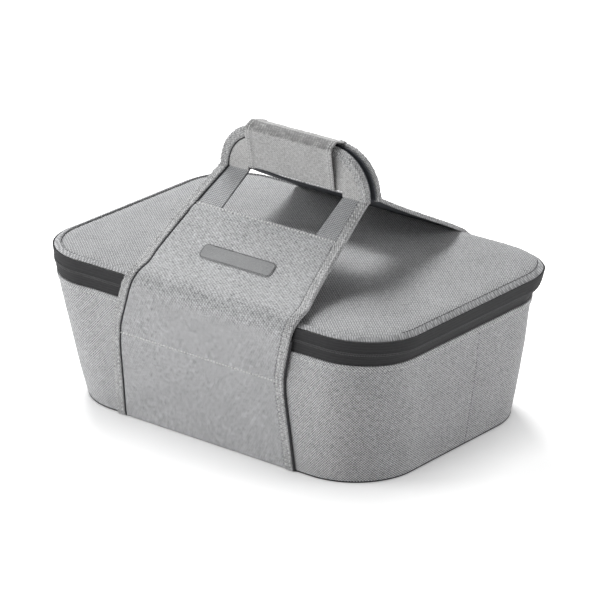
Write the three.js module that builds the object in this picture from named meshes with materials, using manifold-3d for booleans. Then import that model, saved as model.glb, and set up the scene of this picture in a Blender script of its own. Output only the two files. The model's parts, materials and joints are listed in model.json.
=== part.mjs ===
// Insulated fabric carrier for a rectangular baking dish.
// A tapered padded tub, a hinged padded lid closed by a zip round the rim, and two strap panels
// sewn to the front and rear walls that lean together over the lid and end in two hand grips.
// Millimetres. X runs along the length, the front faces -Y, +Z is up, the origin is the middle
// of the base.

import * as THREE from 'three';
import { mergeVertices } from 'three/addons/utils/BufferGeometryUtils.js';
import Module from 'manifold-3d';

const wasm = await Module();
wasm.setup();

// Clearances and layers
const gap = 0.3;
const overrun = 12;
const weld = 0.0001;
const fabric = 1.5;
const foam = 5.4;
const lining = 1;

// Tub: half sizes and corner radii of the outer wall at the base and at the rim
const baseHalfLength = 196;
const baseHalfWidth = 139;
const baseCorner = 69;
const rimHalfLength = 225;
const rimHalfWidth = 156;
const rimCorner = 66;
const rimHeight = 160;
const cornerSteps = 6;

// Base layers and the piping round the foot
const pipingWidth = 2.4;
const pipingHeight = 2.6;
const boardThickness = 2.5;
const baseFoam = 5.4;

// The front wall piece wraps both front corners and ends at a slanted seam on each side
const sideSeamTop = 22;
const sideSeamFoot = 16;

// Zip band: two tapes with a coil on each, and a plain strip of fabric as the hinge at the rear
const bandHeight = 27;
const zipLine = rimHeight - bandHeight / 2;
const zipSplit = 1.6;
const tapeThickness = 1;
const tapeInset = 0.5;
const coilHeight = 1.7;
const coilDepth = 1.1;
const coilSplit = 0.8;
const hingeHalfLength = 126;
const stopLength = 5;
const bindingDepth = 2.4;

// Lid
const lidFoam = 8;
const lidCrown = 5;
const borderWidth = 7;
const borderHeight = 3.4;
const lidBindingWidth = 3;
const crownShares = [1, 0.8, 0.55, 0.3];

// Strap panels
const strapFoot = 3.2;
const stitchDrop = 65;
const stitchHeight = rimHeight - stitchDrop;
const strapSeat = 0.4;
const footHalf = 119;
const turnHalf = 108;
const strapShift = 2.75;
const footSkew = -5;
const rowSkew = -8;
const turnSkew = 17.5;
const bendSkew = -1.25;
const skewEase = 3.3;
const edgeBinding = 10;
const edgeProud = 0.6;
const rimClearance = 3.4;
const turnDrop = 1;
const turnRun = 8;
const turnRise = 7.2;
const turnAngle = 10;
const hingeSlit = 1;
const turnSteps = 4;
const slopeSteps = 8;

// Handles: the bend where the straps turn upright, the window, and the rounded shoulders
const bendOut = 8.2;
const bendRise = 74.7;
const bendHeight = rimHeight + bendRise;
const bendAngle = 31;
const bendHalf = 94.4;
const windowHalf = 60.5;
const windowLength = 50;
const windowShift = 3;
const shoulderRadius = 48;
const handleSlit = 2.9;
const handleFoot = bendHeight + handleSlit;
const handleHeight = 48.9;
const handleTop = handleFoot + handleHeight;
const barStep = 7.4;
const barFoot = handleFoot + barStep;
const handleFace = 9.7;
const coreThickness = 4.5;
const innerFabric = 1.2;
const handleProud = 0.3;

// Grip wrap, its flap and their closure
const gripHalf = 55.5;
const gripRise = 4.6;
const gripTop = handleTop + gripRise;
const gripDrop = 2.6;
const gripFoot = barFoot - gripDrop;
const gripOut = 15.4;
const gripSkin = 1.6;
const gripPad = 2.7;
const padSetUp = 6.4;
const padFoot = gripFoot + padSetUp;
const padSetDown = 8;
const padTop = handleTop - padSetDown;
const closureThickness = 1.1;
const closureWidth = 5;
const closureHalf = 50;
const closureInset = 1;

// Blank label on the front strap
const labelHalfLength = 46;
const labelWidth = 20;
const labelThickness = 0.8;
const labelBelowWindow = 47;

// Zip slider on the left side
const sliderPlace = 66;
const sliderLength = 14;
const sliderHeight = 9;
const sliderPlate = 2.2;
const sliderFlange = 2.4;
const earLength = 1.8;
const earReach = 3.6;
const earHeight = 4;
const barrelRadius = 1.2;
const barrelLength = 5.2;
const pullLength = 24;
const pullWidth = 8;
const pullThickness = 1.2;
const barrelSides = 10;

const cloth = { color: 0xa3a5a6, roughness: 0.95, metalness: 0 };
const strapCloth = { color: 0x96999b, roughness: 0.95, metalness: 0 };
const binding = { color: 0xa9abac, roughness: 0.95, metalness: 0 };
const tape = { color: 0x38383a, roughness: 0.8, metalness: 0 };
const coil = { color: 0x2b2b2d, roughness: 0.5, metalness: 0 };
const slate = { color: 0x4b4e54, roughness: 0.85, metalness: 0 };
const padding = { color: 0xe2e0d8, roughness: 1, metalness: 0 };
const board = { color: 0x303033, roughness: 0.7, metalness: 0 };
const metal = { color: 0x55565a, roughness: 0.35, metalness: 0.9 };

const carrier = new THREE.Group();

// Solids

function outward(geometry) {
  const merged = mergeVertices(geometry, weld);
  const place = merged.attributes.position;
  const index = merged.index.array;
  let volume = 0;
  const a = new THREE.Vector3();
  const b = new THREE.Vector3();
  const c = new THREE.Vector3();
  for (let i = 0; i < index.length; i += 3) {
    a.fromBufferAttribute(place, index[i]);
    b.fromBufferAttribute(place, index[i + 1]);
    c.fromBufferAttribute(place, index[i + 2]);
    volume += a.dot(b.cross(c));
  }
  if (volume < 0) {
    for (let i = 0; i < index.length; i += 3) {
      [index[i], index[i + 1]] = [index[i + 1], index[i]];
    }
  }
  return merged;
}

function bare(geometry) {
  geometry.deleteAttribute('normal');
  geometry.deleteAttribute('uv');
  return outward(geometry);
}

function fromTriangles(points, triangles) {
  const geometry = new THREE.BufferGeometry();
  geometry.setAttribute('position', new THREE.Float32BufferAttribute(points.flat(), 3));
  geometry.setIndex(triangles.flat());
  return outward(geometry);
}

// Rings of points joined one to the next: a closed loop of rings, or a stack with both ends filled
function joined(rings, loop) {
  const points = rings.flat();
  const count = rings[0].length;
  const triangles = [];
  const last = loop ? rings.length : rings.length - 1;
  for (let i = 0; i < last; i += 1) {
    const next = (i + 1) % rings.length;
    for (let j = 0; j < count; j += 1) {
      const k = (j + 1) % count;
      triangles.push([i * count + j, i * count + k, next * count + k]);
      triangles.push([i * count + j, next * count + k, next * count + j]);
    }
  }
  if (!loop) {
    for (const [ring, turn] of [[0, true], [rings.length - 1, false]]) {
      const middle = points.length;
      const sum = rings[ring].reduce((s, p) => s.map((v, n) => v + p[n]), [0, 0, 0]);
      points.push(sum.map((v) => v / count));
      for (let j = 0; j < count; j += 1) {
        const k = (j + 1) % count;
        const edge = [ring * count + j, ring * count + k];
        triangles.push(turn ? [middle, edge[1], edge[0]] : [middle, edge[0], edge[1]]);
      }
    }
  }
  return fromTriangles(points, triangles);
}

function toSolid(geometry) {
  const vertProperties = Float32Array.from(geometry.attributes.position.array);
  const triVerts = Uint32Array.from(geometry.index.array);
  return new wasm.Manifold(new wasm.Mesh({ numProp: 3, vertProperties, triVerts }));
}

function fromSolid(solid) {
  const mesh = solid.getMesh();
  const geometry = new THREE.BufferGeometry();
  geometry.setAttribute('position', new THREE.BufferAttribute(mesh.vertProperties, 3));
  geometry.setIndex(new THREE.BufferAttribute(mesh.triVerts, 1));
  return outward(geometry);
}

function cut(geometry, tool) {
  return fromSolid(toSolid(geometry).subtract(toSolid(tool)));
}

function common(geometry, tool) {
  return fromSolid(toSolid(geometry).intersect(toSolid(tool)));
}

function united(geometry, other) {
  return fromSolid(toSolid(geometry).add(toSolid(other)));
}

function block(x0, x1, y0, y1, z0, z1) {
  const geometry = new THREE.BoxGeometry(x1 - x0, y1 - y0, z1 - z0);
  geometry.translate((x0 + x1) / 2, (y0 + y1) / 2, (z0 + z1) / 2);
  return bare(geometry);
}

function add(name, geometry, look) {
  const mesh = new THREE.Mesh(geometry, new THREE.MeshStandardMaterial(look));
  mesh.name = name;
  carrier.add(mesh);
}

// Outline of the tapered, round-cornered tub at a height, moved in by an inset

function wallSize(z) {
  const share = Math.min(z / rimHeight, 1);
  return {
    length: THREE.MathUtils.lerp(baseHalfLength, rimHalfLength, share),
    width: THREE.MathUtils.lerp(baseHalfWidth, rimHalfWidth, share),
    corner: THREE.MathUtils.lerp(baseCorner, rimCorner, share),
  };
}

function outlineAt(z, inset, share = 1, height = z) {
  const size = wallSize(z);
  const radius = size.corner - inset;
  const points = [];
  for (let quarter = 0; quarter < 4; quarter += 1) {
    const sx = quarter === 0 || quarter === 3 ? 1 : -1;
    const sy = quarter < 2 ? 1 : -1;
    for (let i = 0; i <= cornerSteps; i += 1) {
      const angle = (quarter + i / cornerSteps) * Math.PI / 2;
      const x = sx * (size.length - size.corner) + radius * Math.cos(angle);
      const y = sy * (size.width - size.corner) + radius * Math.sin(angle);
      points.push([x * share, y * share, height]);
    }
  }
  return points;
}

// A band that follows the wall: its section is a list of [inset, height]
function wallRing(section) {
  return joined(section.map(([inset, z]) => outlineAt(z, inset)), true);
}

function wallStrip(inset, depth, z0, z1) {
  return wallRing([[inset, z0], [inset, z1], [inset + depth, z1], [inset + depth, z0]]);
}

function wallPlate(inset, z0, z1) {
  return joined([outlineAt(z0, inset), outlineAt(z1, inset)], false);
}

const big = rimHalfLength + rimHeight;

function slantedHalf(side) {
  const lean = Math.atan2(sideSeamTop - sideSeamFoot, rimHeight);
  const half = block(-big, big, side > 0 ? gap / 2 : -big, side > 0 ? big : -gap / 2, -big, big);
  half.applyMatrix4(new THREE.Matrix4().makeRotationX(-lean));
  half.translate(0, sideSeamFoot, 0);
  return half;
}

// Tub

const liningInset = fabric + gap + foam + gap;
const bandFoot = rimHeight - bandHeight;
const boardFoot = fabric + gap;
const foamFoot = boardFoot + boardThickness + gap;
const floorFoot = foamFoot + baseFoam + gap;
const lowerTapeTop = zipLine - zipSplit / 2;
const upperTapeFoot = zipLine + zipSplit / 2;
const foamInset = fabric + gap;
const bindingFoot = lowerTapeTop - bindingDepth;
const foamTop = bindingFoot - gap;

function buildBase() {
  const piping = wallStrip(0, pipingWidth, 0, pipingHeight);
  add('base_piping', piping, tape);
  add('base_fabric', wallPlate(pipingWidth + gap, 0, fabric), cloth);
  add('base_board', wallPlate(liningInset, boardFoot, boardFoot + boardThickness), board);
  add('base_foam', wallPlate(liningInset, foamFoot, foamFoot + baseFoam), padding);
}

function buildWalls() {
  const skin = wallStrip(0, fabric, pipingHeight + gap, bandFoot - gap);
  add('front_wall_fabric', common(skin, slantedHalf(-1)), cloth);
  add('rear_wall_fabric', common(skin, slantedHalf(1)), cloth);
  const pad = wallStrip(foamInset, foam, pipingHeight + gap, foamTop);
  const plankHalf = baseHalfLength - baseCorner;
  add('front_wall_foam', common(pad, block(-plankHalf, plankHalf, -big, 0, 0, big)), padding);
  add('rear_wall_foam', common(pad, block(-plankHalf, plankHalf, 0, big, 0, big)), padding);
  const end = plankHalf + gap;
  add('left_end_foam', common(pad, block(-big, -end, -big, big, 0, big)), padding);
  add('right_end_foam', common(pad, block(end, big, -big, big, 0, big)), padding);
  add('inner_lining', joined([
    outlineAt(floorFoot, liningInset),
    outlineAt(foamTop, liningInset),
    outlineAt(foamTop, liningInset + lining),
    outlineAt(floorFoot + lining, liningInset + lining),
  ], false), slate);
  const inner = liningInset + lining;
  add('rim_binding', wallStrip(foamInset, inner - foamInset, bindingFoot, lowerTapeTop), tape);
}

// Zip band

const hingeGapBox = block(-hingeHalfLength, hingeHalfLength, 0, big, 0, big);
const stripHalf = hingeHalfLength - gap;
const hingeBox = block(-stripHalf, stripHalf, 0, big, 0, big);
const coilInset = tapeInset - gap - coilDepth;

function buildZip() {
  const lower = wallStrip(tapeInset, tapeThickness, bandFoot, lowerTapeTop);
  add('lower_zip_tape', cut(lower, hingeGapBox), tape);
  add('hinge_gusset', common(lower, hingeBox), cloth);
  const upperTop = rimHeight - gap;
  const upper = wallStrip(tapeInset, tapeThickness, upperTapeFoot, upperTop);
  add('upper_zip_tape', cut(upper, hingeGapBox), tape);
  add('lid_hinge_strip', common(upper, hingeBox), cloth);
  const stopBox = block(
    -hingeHalfLength - stopLength - gap, hingeHalfLength + stopLength + gap, 0, big, 0, big,
  );
  const coilTop = zipLine - coilSplit / 2;
  const coilFoot = zipLine + coilSplit / 2;
  const lowerCoil = wallStrip(coilInset, coilDepth, coilTop - coilHeight, coilTop);
  add('lower_zip_coil', cut(lowerCoil, stopBox), coil);
  const upperCoil = wallStrip(coilInset, coilDepth, coilFoot, coilFoot + coilHeight);
  add('upper_zip_coil', cut(upperCoil, stopBox), coil);
  for (const [name, sign] of [['zip_stop_left', -1], ['zip_stop_right', 1]]) {
    const ends = [sign * hingeHalfLength, sign * (hingeHalfLength + stopLength)];
    const stopAt = block(Math.min(...ends), Math.max(...ends), 0, big, 0, big);
    add(name, common(lowerCoil, stopAt), metal);
  }
}

// Lid

const foamCover = rimHeight - gap;
const lidFoamFoot = foamCover - lidFoam;
const lidLiningFoot = lidFoamFoot - gap - lining;

// Rings of the crown, from the edge of the top fabric to the middle of the lid
const crownInset = borderWidth + gap;

function crownRings(height) {
  return crownShares.map((share) => {
    const rise = lidCrown * (1 - share * share);
    return outlineAt(rimHeight, crownInset, share, height + rise);
  });
}

function buildLid() {
  const padInset = tapeInset + tapeThickness + gap;
  const pad = [
    outlineAt(lidFoamFoot, padInset), outlineAt(foamCover, padInset), ...crownRings(foamCover),
  ];
  add('lid_foam', joined(pad, false), padding);
  const top = [...crownRings(rimHeight).reverse(), ...crownRings(rimHeight + fabric)];
  add('lid_fabric', joined(top, false), cloth);
  const round = borderHeight / 4;
  add('lid_border', wallRing([
    [0, rimHeight],
    [-round / 2, rimHeight + 2 * round],
    [round, rimHeight + 3.5 * round],
    [borderWidth / 2, rimHeight + borderHeight],
    [borderWidth - round, rimHeight + 3 * round],
    [borderWidth, rimHeight + 2 * round],
    [borderWidth, rimHeight],
  ]), cloth);
  add('lid_lining', wallPlate(padInset, lidLiningFoot, lidLiningFoot + lining), slate);
  const rim = wallStrip(padInset, lidBindingWidth, upperTapeFoot, lidLiningFoot - gap);
  add('lid_binding', rim, tape);
}

// Strap line: the inner face of a strap seen from the side, as [distance out, height]

function wallOut(z) {
  return wallSize(z).width;
}

function curve(from, fromAngle, to, toAngle, steps) {
  const reach = Math.hypot(to[0] - from[0], to[1] - from[1]) / 3;
  const a = THREE.MathUtils.degToRad(fromAngle);
  const b = THREE.MathUtils.degToRad(toAngle);
  const path = new THREE.CubicBezierCurve(
    new THREE.Vector2(from[0], from[1]),
    new THREE.Vector2(from[0] - reach * Math.cos(a), from[1] + reach * Math.sin(a)),
    new THREE.Vector2(to[0] + reach * Math.cos(b), to[1] - reach * Math.sin(b)),
    new THREE.Vector2(to[0], to[1]),
  );
  return path.getPoints(steps).map((p) => [p.x, p.y]);
}

const turnStart = [rimHalfWidth + rimClearance, rimHeight - turnDrop];
const turnEnd = [rimHalfWidth - turnRun, rimHeight + turnRise];
const bendPoint = [bendOut, bendHeight];
const upright = 90;

function strapPoints() {
  const foot = [wallOut(strapFoot) + strapSeat, strapFoot];
  const row = [wallOut(stitchHeight) + strapSeat, stitchHeight];
  const turn = curve(turnStart, upright, turnEnd, turnAngle, turnSteps);
  const slope = curve(turnEnd, turnAngle, bendPoint, bendAngle, slopeSteps);
  return [foot, row, ...turn, ...slope.slice(1)];
}

function lengthsAlong(points) {
  const lengths = [0];
  for (let i = 1; i < points.length; i += 1) {
    const step = Math.hypot(points[i][0] - points[i - 1][0], points[i][1] - points[i - 1][1]);
    lengths.push(lengths[i - 1] + step);
  }
  return lengths;
}

const strapPath = strapPoints();
const strapLengths = lengthsAlong(strapPath);
const rowAlong = strapLengths[1];
const turnAlong = strapLengths[2 + turnSteps];
const bendAlong = strapLengths[strapLengths.length - 1];

// The straps pull askew: each runs off to one side up to the rim and back again above it.
// The rear strap is skewed the other way, as if turned by half a turn.
const front = 1;
const rear = -1;

function slopeShare(along) {
  return (along - turnAlong) / (bendAlong - turnAlong);
}

function halfWidthAt(along) {
  if (along < turnAlong) {
    return THREE.MathUtils.lerp(footHalf, turnHalf, along / turnAlong);
  }
  return THREE.MathUtils.lerp(turnHalf, bendHalf, slopeShare(along) ** 2);
}

function skewAt(along) {
  if (along < rowAlong) {
    return THREE.MathUtils.lerp(footSkew, rowSkew, along / rowAlong);
  }
  if (along < turnAlong) {
    const share = (along - rowAlong) / (turnAlong - rowAlong);
    return THREE.MathUtils.lerp(rowSkew, turnSkew, share);
  }
  return THREE.MathUtils.lerp(bendSkew, turnSkew, (1 - slopeShare(along)) ** skewEase);
}

function middleAt(along, end) {
  return strapShift * Math.min(along / turnAlong, 1) + end * skewAt(along);
}

const handleMiddle = (end) => strapShift + end * bendSkew;
const windowMiddle = (end) => handleMiddle(end) + end * windowShift;

function segmentNormal(i) {
  const a = strapPath[i];
  const b = strapPath[i + 1];
  const length = strapLengths[i + 1] - strapLengths[i];
  return [(b[1] - a[1]) / length, (a[0] - b[0]) / length];
}

function stationAt(along) {
  let i = 0;
  while (i < strapPath.length - 2 && strapLengths[i + 1] < along) {
    i += 1;
  }
  const share = (along - strapLengths[i]) / (strapLengths[i + 1] - strapLengths[i]);
  const a = strapPath[i];
  const b = strapPath[i + 1];
  const place = [a[0] + (b[0] - a[0]) * share, a[1] + (b[1] - a[1]) * share];
  return { along, place, normal: segmentNormal(i) };
}

function stationsBetween(from, to) {
  const stations = [stationAt(from)];
  for (let i = 1; i < strapPath.length - 1; i += 1) {
    if (strapLengths[i] > from + gap && strapLengths[i] < to - gap) {
      const before = segmentNormal(i - 1);
      const after = segmentNormal(i);
      const sum = [before[0] + after[0], before[1] + after[1]];
      const size = Math.hypot(sum[0], sum[1]);
      const normal = [sum[0] / size, sum[1] / size];
      stations.push({ along: strapLengths[i], place: strapPath[i], normal });
    }
  }
  stations.push(stationAt(to));
  return stations;
}

// A sheet that follows a strap line, from one offset to another off its inner face
function strapSheet(end, from, to, offset0, offset1, left, right) {
  const rings = stationsBetween(from, to).map((station) => {
    const corner = (x, offset) => [
      x,
      -end * (station.place[0] + offset * station.normal[0]),
      station.place[1] + offset * station.normal[1],
    ];
    const x0 = left(station.along);
    const x1 = right(station.along);
    return [corner(x0, offset0), corner(x1, offset0), corner(x1, offset1), corner(x0, offset1)];
  });
  return joined(rings, false);
}

const strapLayer = lining + gap;
const strapFace = strapLayer + fabric;
const edgeThickness = strapFace + edgeProud;
const slit = hingeSlit / 2;

function buildStrap(name, end) {
  const leftEdge = (along) => middleAt(along, end) - halfWidthAt(along);
  const rightEdge = (along) => middleAt(along, end) + halfWidthAt(along);
  const innerLeft = (along) => leftEdge(along) + edgeBinding + gap;
  const innerRight = (along) => rightEdge(along) - edgeBinding - gap;
  const seamLeft = (along) => leftEdge(along) + edgeBinding;
  const seamRight = (along) => rightEdge(along) - edgeBinding;

  const low = [0, rowAlong - slit];
  const sewn = strapSheet(end, ...low, 0, fabric, innerLeft, innerRight);
  add(`${name}_strap_lower`, sewn, strapCloth);
  const lowEdge = fabric + edgeProud;
  const lowLeft = strapSheet(end, ...low, 0, lowEdge, leftEdge, seamLeft);
  add(`${name}_strap_lower_binding_left`, lowLeft, binding);
  const lowRight = strapSheet(end, ...low, 0, lowEdge, seamRight, rightEdge);
  add(`${name}_strap_lower_binding_right`, lowRight, binding);

  const free = [rowAlong + slit, bendAlong];
  const middle = windowMiddle(end);
  const window = strapSheet(
    end, bendAlong - windowLength, bendAlong + overrun, -overrun, overrun,
    () => middle - windowHalf, () => middle + windowHalf,
  );
  const face = strapSheet(end, ...free, strapLayer, strapFace, innerLeft, innerRight);
  add(`${name}_strap_fabric`, cut(face, window), strapCloth);
  const back = strapSheet(end, ...free, 0, lining, innerLeft, innerRight);
  add(`${name}_strap_lining`, cut(back, window), slate);
  const edge = [rowAlong + slit, bendAlong - slit];
  const left = strapSheet(end, ...edge, 0, edgeThickness, leftEdge, seamLeft);
  add(`${name}_strap_binding_left`, left, binding);
  const right = strapSheet(end, ...edge, 0, edgeThickness, seamRight, rightEdge);
  add(`${name}_strap_binding_right`, right, binding);
}

function buildLabel() {
  const labelEnd = bendAlong - windowLength - labelBelowWindow;
  const labelFoot = strapFace + gap;
  add('blank_label', strapSheet(
    front, labelEnd - labelWidth, labelEnd, labelFoot, labelFoot + labelThickness,
    (s) => middleAt(s, front) - labelHalfLength, (s) => middleAt(s, front) + labelHalfLength,
  ), slate);
}

// Handles: upright plates with rounded shoulders, cut straight across above the window

function archPoints(inset) {
  const side = bendHalf - inset;
  const radius = shoulderRadius - inset;
  const points = [[side, handleFoot]];
  for (let i = 0; i <= cornerSteps; i += 1) {
    const angle = (i / cornerSteps) * Math.PI / 2;
    const x = bendHalf - shoulderRadius + radius * Math.cos(angle);
    points.push([x, handleTop - shoulderRadius + radius * Math.sin(angle)]);
  }
  const other = points.map(([x, z]) => [-x, z]).reverse();
  return [...points, ...other];
}

// A flat outline in X and Z, thickened towards one end from one distance out to another
function uprightPlate(end, points, out0, out1) {
  const middle = handleMiddle(end);
  const shape = new THREE.Shape(points.map(([x, z]) => new THREE.Vector2(x + middle, z)));
  const geometry = new THREE.ExtrudeGeometry(shape, { depth: out1 - out0, bevelEnabled: false });
  geometry.rotateX(Math.PI / 2);
  geometry.translate(0, end === front ? -out0 : out1, 0);
  return bare(geometry);
}

function buildHandle(name, end) {
  const arch = archPoints(edgeBinding + gap);
  const shift = end * windowShift;
  const opening = [
    [shift - windowHalf, handleFoot],
    [shift - windowHalf, barFoot],
    [shift + windowHalf, barFoot],
    [shift + windowHalf, handleFoot],
  ];
  const plate = [...arch, ...opening];
  const faceBack = handleFace - fabric;
  const coreBack = faceBack - gap - coreThickness;
  const innerBack = coreBack - gap - innerFabric;
  const face = uprightPlate(end, plate, faceBack, handleFace);
  add(`${name}_handle_fabric`, face, strapCloth);
  const core = uprightPlate(end, plate, coreBack, faceBack - gap);
  add(`${name}_handle_core`, core, board);
  const inner = uprightPlate(end, plate, innerBack, coreBack - gap);
  add(`${name}_handle_lining`, inner, slate);
  const rimLine = [...archPoints(0), ...archPoints(edgeBinding).reverse()];
  const rim = uprightPlate(end, rimLine, innerBack, handleFace + handleProud);
  add(`${name}_handle_binding`, rim, binding);
}

// Grip: a C-shaped wrap on the front handle and a flap that closes over the rear handle

function prismAlongX(points, half) {
  const shape = new THREE.Shape(points.map(([y, z]) => new THREE.Vector2(y, z)));
  const geometry = new THREE.ExtrudeGeometry(shape, { depth: 2 * half, bevelEnabled: false });
  geometry.applyMatrix4(new THREE.Matrix4().makeBasis(
    new THREE.Vector3(0, 1, 0), new THREE.Vector3(0, 0, 1), new THREE.Vector3(1, 0, 0),
  ));
  geometry.translate(handleMiddle(front) - half, 0, 0);
  return bare(geometry);
}

// A line of points given a thickness on its left-hand side
function thickened(points, thickness) {
  const inner = points.map((point, i) => {
    const a = points[Math.max(i - 1, 0)];
    const b = points[Math.min(i + 1, points.length - 1)];
    const length = Math.hypot(b[0] - a[0], b[1] - a[1]);
    const normal = [-(b[1] - a[1]) / length, (b[0] - a[0]) / length];
    return [point[0] + thickness * normal[0], point[1] + thickness * normal[1]];
  });
  return [...points, ...inner.reverse()];
}

const gripTall = gripTop - gripFoot;
const flapFoot = gripFoot - 2 * (closureThickness + gap) - gripSkin - gap;

// Points of the wrap as shares of its reach out and of its height above the foot
const gripShares = [[0.8, 0.01], [0.97, 0.08], [1, 0.45], [0.95, 0.84], [0.74, 0.965], [0.25, 1]];

function buildGrip() {
  const round = gripShares.map(([out, up]) => [out * gripOut, gripFoot + up * gripTall]);
  const start = [closureInset, gripFoot];
  const crest = [gap / 2, gripTop];
  const wrap = [start, ...round, crest].map(([out, z]) => [-out, z]).reverse();
  add('grip_wrap', prismAlongX(thickened(wrap, gripSkin), gripHalf), strapCloth);
  const stripOut = closureInset + closureWidth;
  const lip = [-stripOut - gap, flapFoot];
  const corner = [gripOut * gripShares[0][0], flapFoot];
  const flap = [lip, corner, ...round.slice(1), crest];
  add('grip_flap', prismAlongX(thickened(flap, gripSkin), gripHalf), strapCloth);

  const padOut = handleFace + handleProud + gap;
  const pad = [
    [-padOut, padFoot], [-padOut, padTop], [-padOut - gripPad, padTop], [-padOut - gripPad, padFoot],
  ];
  add('grip_pad', prismAlongX(pad, gripHalf - gripSkin), padding);
  const loopFoot = gripFoot - gap - closureThickness;
  const strip = (foot) => [
    [-stripOut, foot], [-closureInset, foot],
    [-closureInset, foot + closureThickness], [-stripOut, foot + closureThickness],
  ];
  add('loop_strip', prismAlongX(strip(loopFoot), closureHalf), board);
  add('hook_strip', prismAlongX(strip(loopFoot - gap - closureThickness), closureHalf), board);
}

// Zip slider and pull on the left side

function sidePoint(inset, z) {
  return [-(wallSize(z).length - inset), z];
}

function prismAlongY(points, y0, y1) {
  const shape = new THREE.Shape(points.map(([x, z]) => new THREE.Vector2(x, z)));
  const geometry = new THREE.ExtrudeGeometry(shape, { depth: y1 - y0, bevelEnabled: false });
  geometry.rotateX(Math.PI / 2);
  geometry.translate(0, y1, 0);
  return bare(geometry);
}

function buildSlider() {
  const foot = zipLine - sliderHeight / 2;
  const top = zipLine + sliderHeight / 2;
  const back = coilInset - gap;
  const face = back - sliderPlate;
  const hook = tapeInset - gap;
  const coilUnder = zipLine - coilSplit / 2 - coilHeight - gap;
  const hookFoot = coilUnder - sliderFlange;
  const y0 = sliderPlace - sliderLength / 2;
  const y1 = sliderPlace + sliderLength / 2;
  const section = [
    sidePoint(hook, hookFoot), sidePoint(hook, coilUnder), sidePoint(back, coilUnder),
    sidePoint(back, top), sidePoint(face, top), sidePoint(face, Math.min(foot, hookFoot)),
  ];
  let slider = prismAlongY(section, y0, y1);
  const ear = barrelLength / 2 + gap;
  const out = sidePoint(face, zipLine)[0];
  for (const sign of [-1, 1]) {
    const ends = [sliderPlace + sign * ear, sliderPlace + sign * (ear + earLength)];
    const lug = block(
      out - earReach, out + sliderPlate / 2, Math.min(...ends), Math.max(...ends),
      zipLine - earHeight / 2, zipLine + earHeight / 2,
    );
    slider = united(slider, lug);
  }
  add('zip_slider', slider, metal);

  const axisX = out - barrelRadius - gap;
  const barrel = new THREE.CylinderGeometry(barrelRadius, barrelRadius, barrelLength, barrelSides);
  barrel.translate(axisX, sliderPlace, zipLine);
  const neckHalf = barrelLength / 2 - gap;
  const half = pullWidth / 2;
  const neckFoot = zipLine - earHeight;
  const pullFoot = zipLine - pullLength;
  const tab = [
    [-neckHalf, zipLine], [neckHalf, zipLine], [neckHalf, neckFoot], [half, neckFoot - half],
    [half, pullFoot + half / 2], [half / 2, pullFoot], [-half / 2, pullFoot],
    [-half, pullFoot + half / 2], [-half, neckFoot - half], [-neckHalf, neckFoot],
  ];
  const shape = new THREE.Shape(tab.map(([y, z]) => new THREE.Vector2(y, z)));
  const plate = new THREE.ExtrudeGeometry(shape, { depth: pullThickness, bevelEnabled: false });
  plate.applyMatrix4(new THREE.Matrix4().makeBasis(
    new THREE.Vector3(0, 1, 0), new THREE.Vector3(0, 0, 1), new THREE.Vector3(1, 0, 0),
  ));
  plate.translate(axisX - pullThickness / 2, sliderPlace, 0);
  add('zip_pull', united(bare(barrel), bare(plate)), metal);
}

buildBase();
buildWalls();
buildZip();
buildLid();
for (const [name, end] of [['front', front], ['rear', rear]]) {
  buildStrap(name, end);
  buildHandle(name, end);
}
buildLabel();
buildGrip();
buildSlider();

export default carrier;
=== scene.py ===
# Insulated fabric carrier for a rectangular baking dish, dressed for rendering.
# Metres. X runs along the length, the front faces -Y, +Z is up.

import json
import math

import bpy
import numpy as np
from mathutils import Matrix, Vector


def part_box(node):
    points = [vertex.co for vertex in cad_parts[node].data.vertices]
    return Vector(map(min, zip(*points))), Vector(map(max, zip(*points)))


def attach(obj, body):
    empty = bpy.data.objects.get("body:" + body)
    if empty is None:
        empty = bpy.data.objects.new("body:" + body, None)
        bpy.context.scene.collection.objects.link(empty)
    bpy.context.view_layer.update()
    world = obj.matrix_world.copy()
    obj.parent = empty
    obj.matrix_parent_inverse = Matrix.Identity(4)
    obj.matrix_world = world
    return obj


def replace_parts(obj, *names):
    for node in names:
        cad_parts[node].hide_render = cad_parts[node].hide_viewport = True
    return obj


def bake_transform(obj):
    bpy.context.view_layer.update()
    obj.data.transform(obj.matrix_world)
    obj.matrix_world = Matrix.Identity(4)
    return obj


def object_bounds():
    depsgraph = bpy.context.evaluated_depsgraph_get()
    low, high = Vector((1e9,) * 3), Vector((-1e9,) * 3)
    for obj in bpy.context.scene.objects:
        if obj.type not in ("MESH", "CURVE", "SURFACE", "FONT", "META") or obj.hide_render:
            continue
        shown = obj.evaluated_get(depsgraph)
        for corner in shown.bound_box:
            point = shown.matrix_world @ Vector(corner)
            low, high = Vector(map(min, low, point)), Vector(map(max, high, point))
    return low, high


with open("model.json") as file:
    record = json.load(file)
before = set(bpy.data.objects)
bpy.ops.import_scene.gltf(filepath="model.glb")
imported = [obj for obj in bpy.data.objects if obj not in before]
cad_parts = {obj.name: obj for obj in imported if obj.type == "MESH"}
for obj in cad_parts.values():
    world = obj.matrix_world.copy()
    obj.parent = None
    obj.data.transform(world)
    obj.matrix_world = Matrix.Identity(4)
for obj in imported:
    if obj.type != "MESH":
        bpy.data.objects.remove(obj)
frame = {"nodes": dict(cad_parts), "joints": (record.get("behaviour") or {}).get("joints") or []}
cad_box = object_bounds()
JOINTS = {joint["name"]: joint.get("pos_m") for joint in frame["joints"]}

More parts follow.
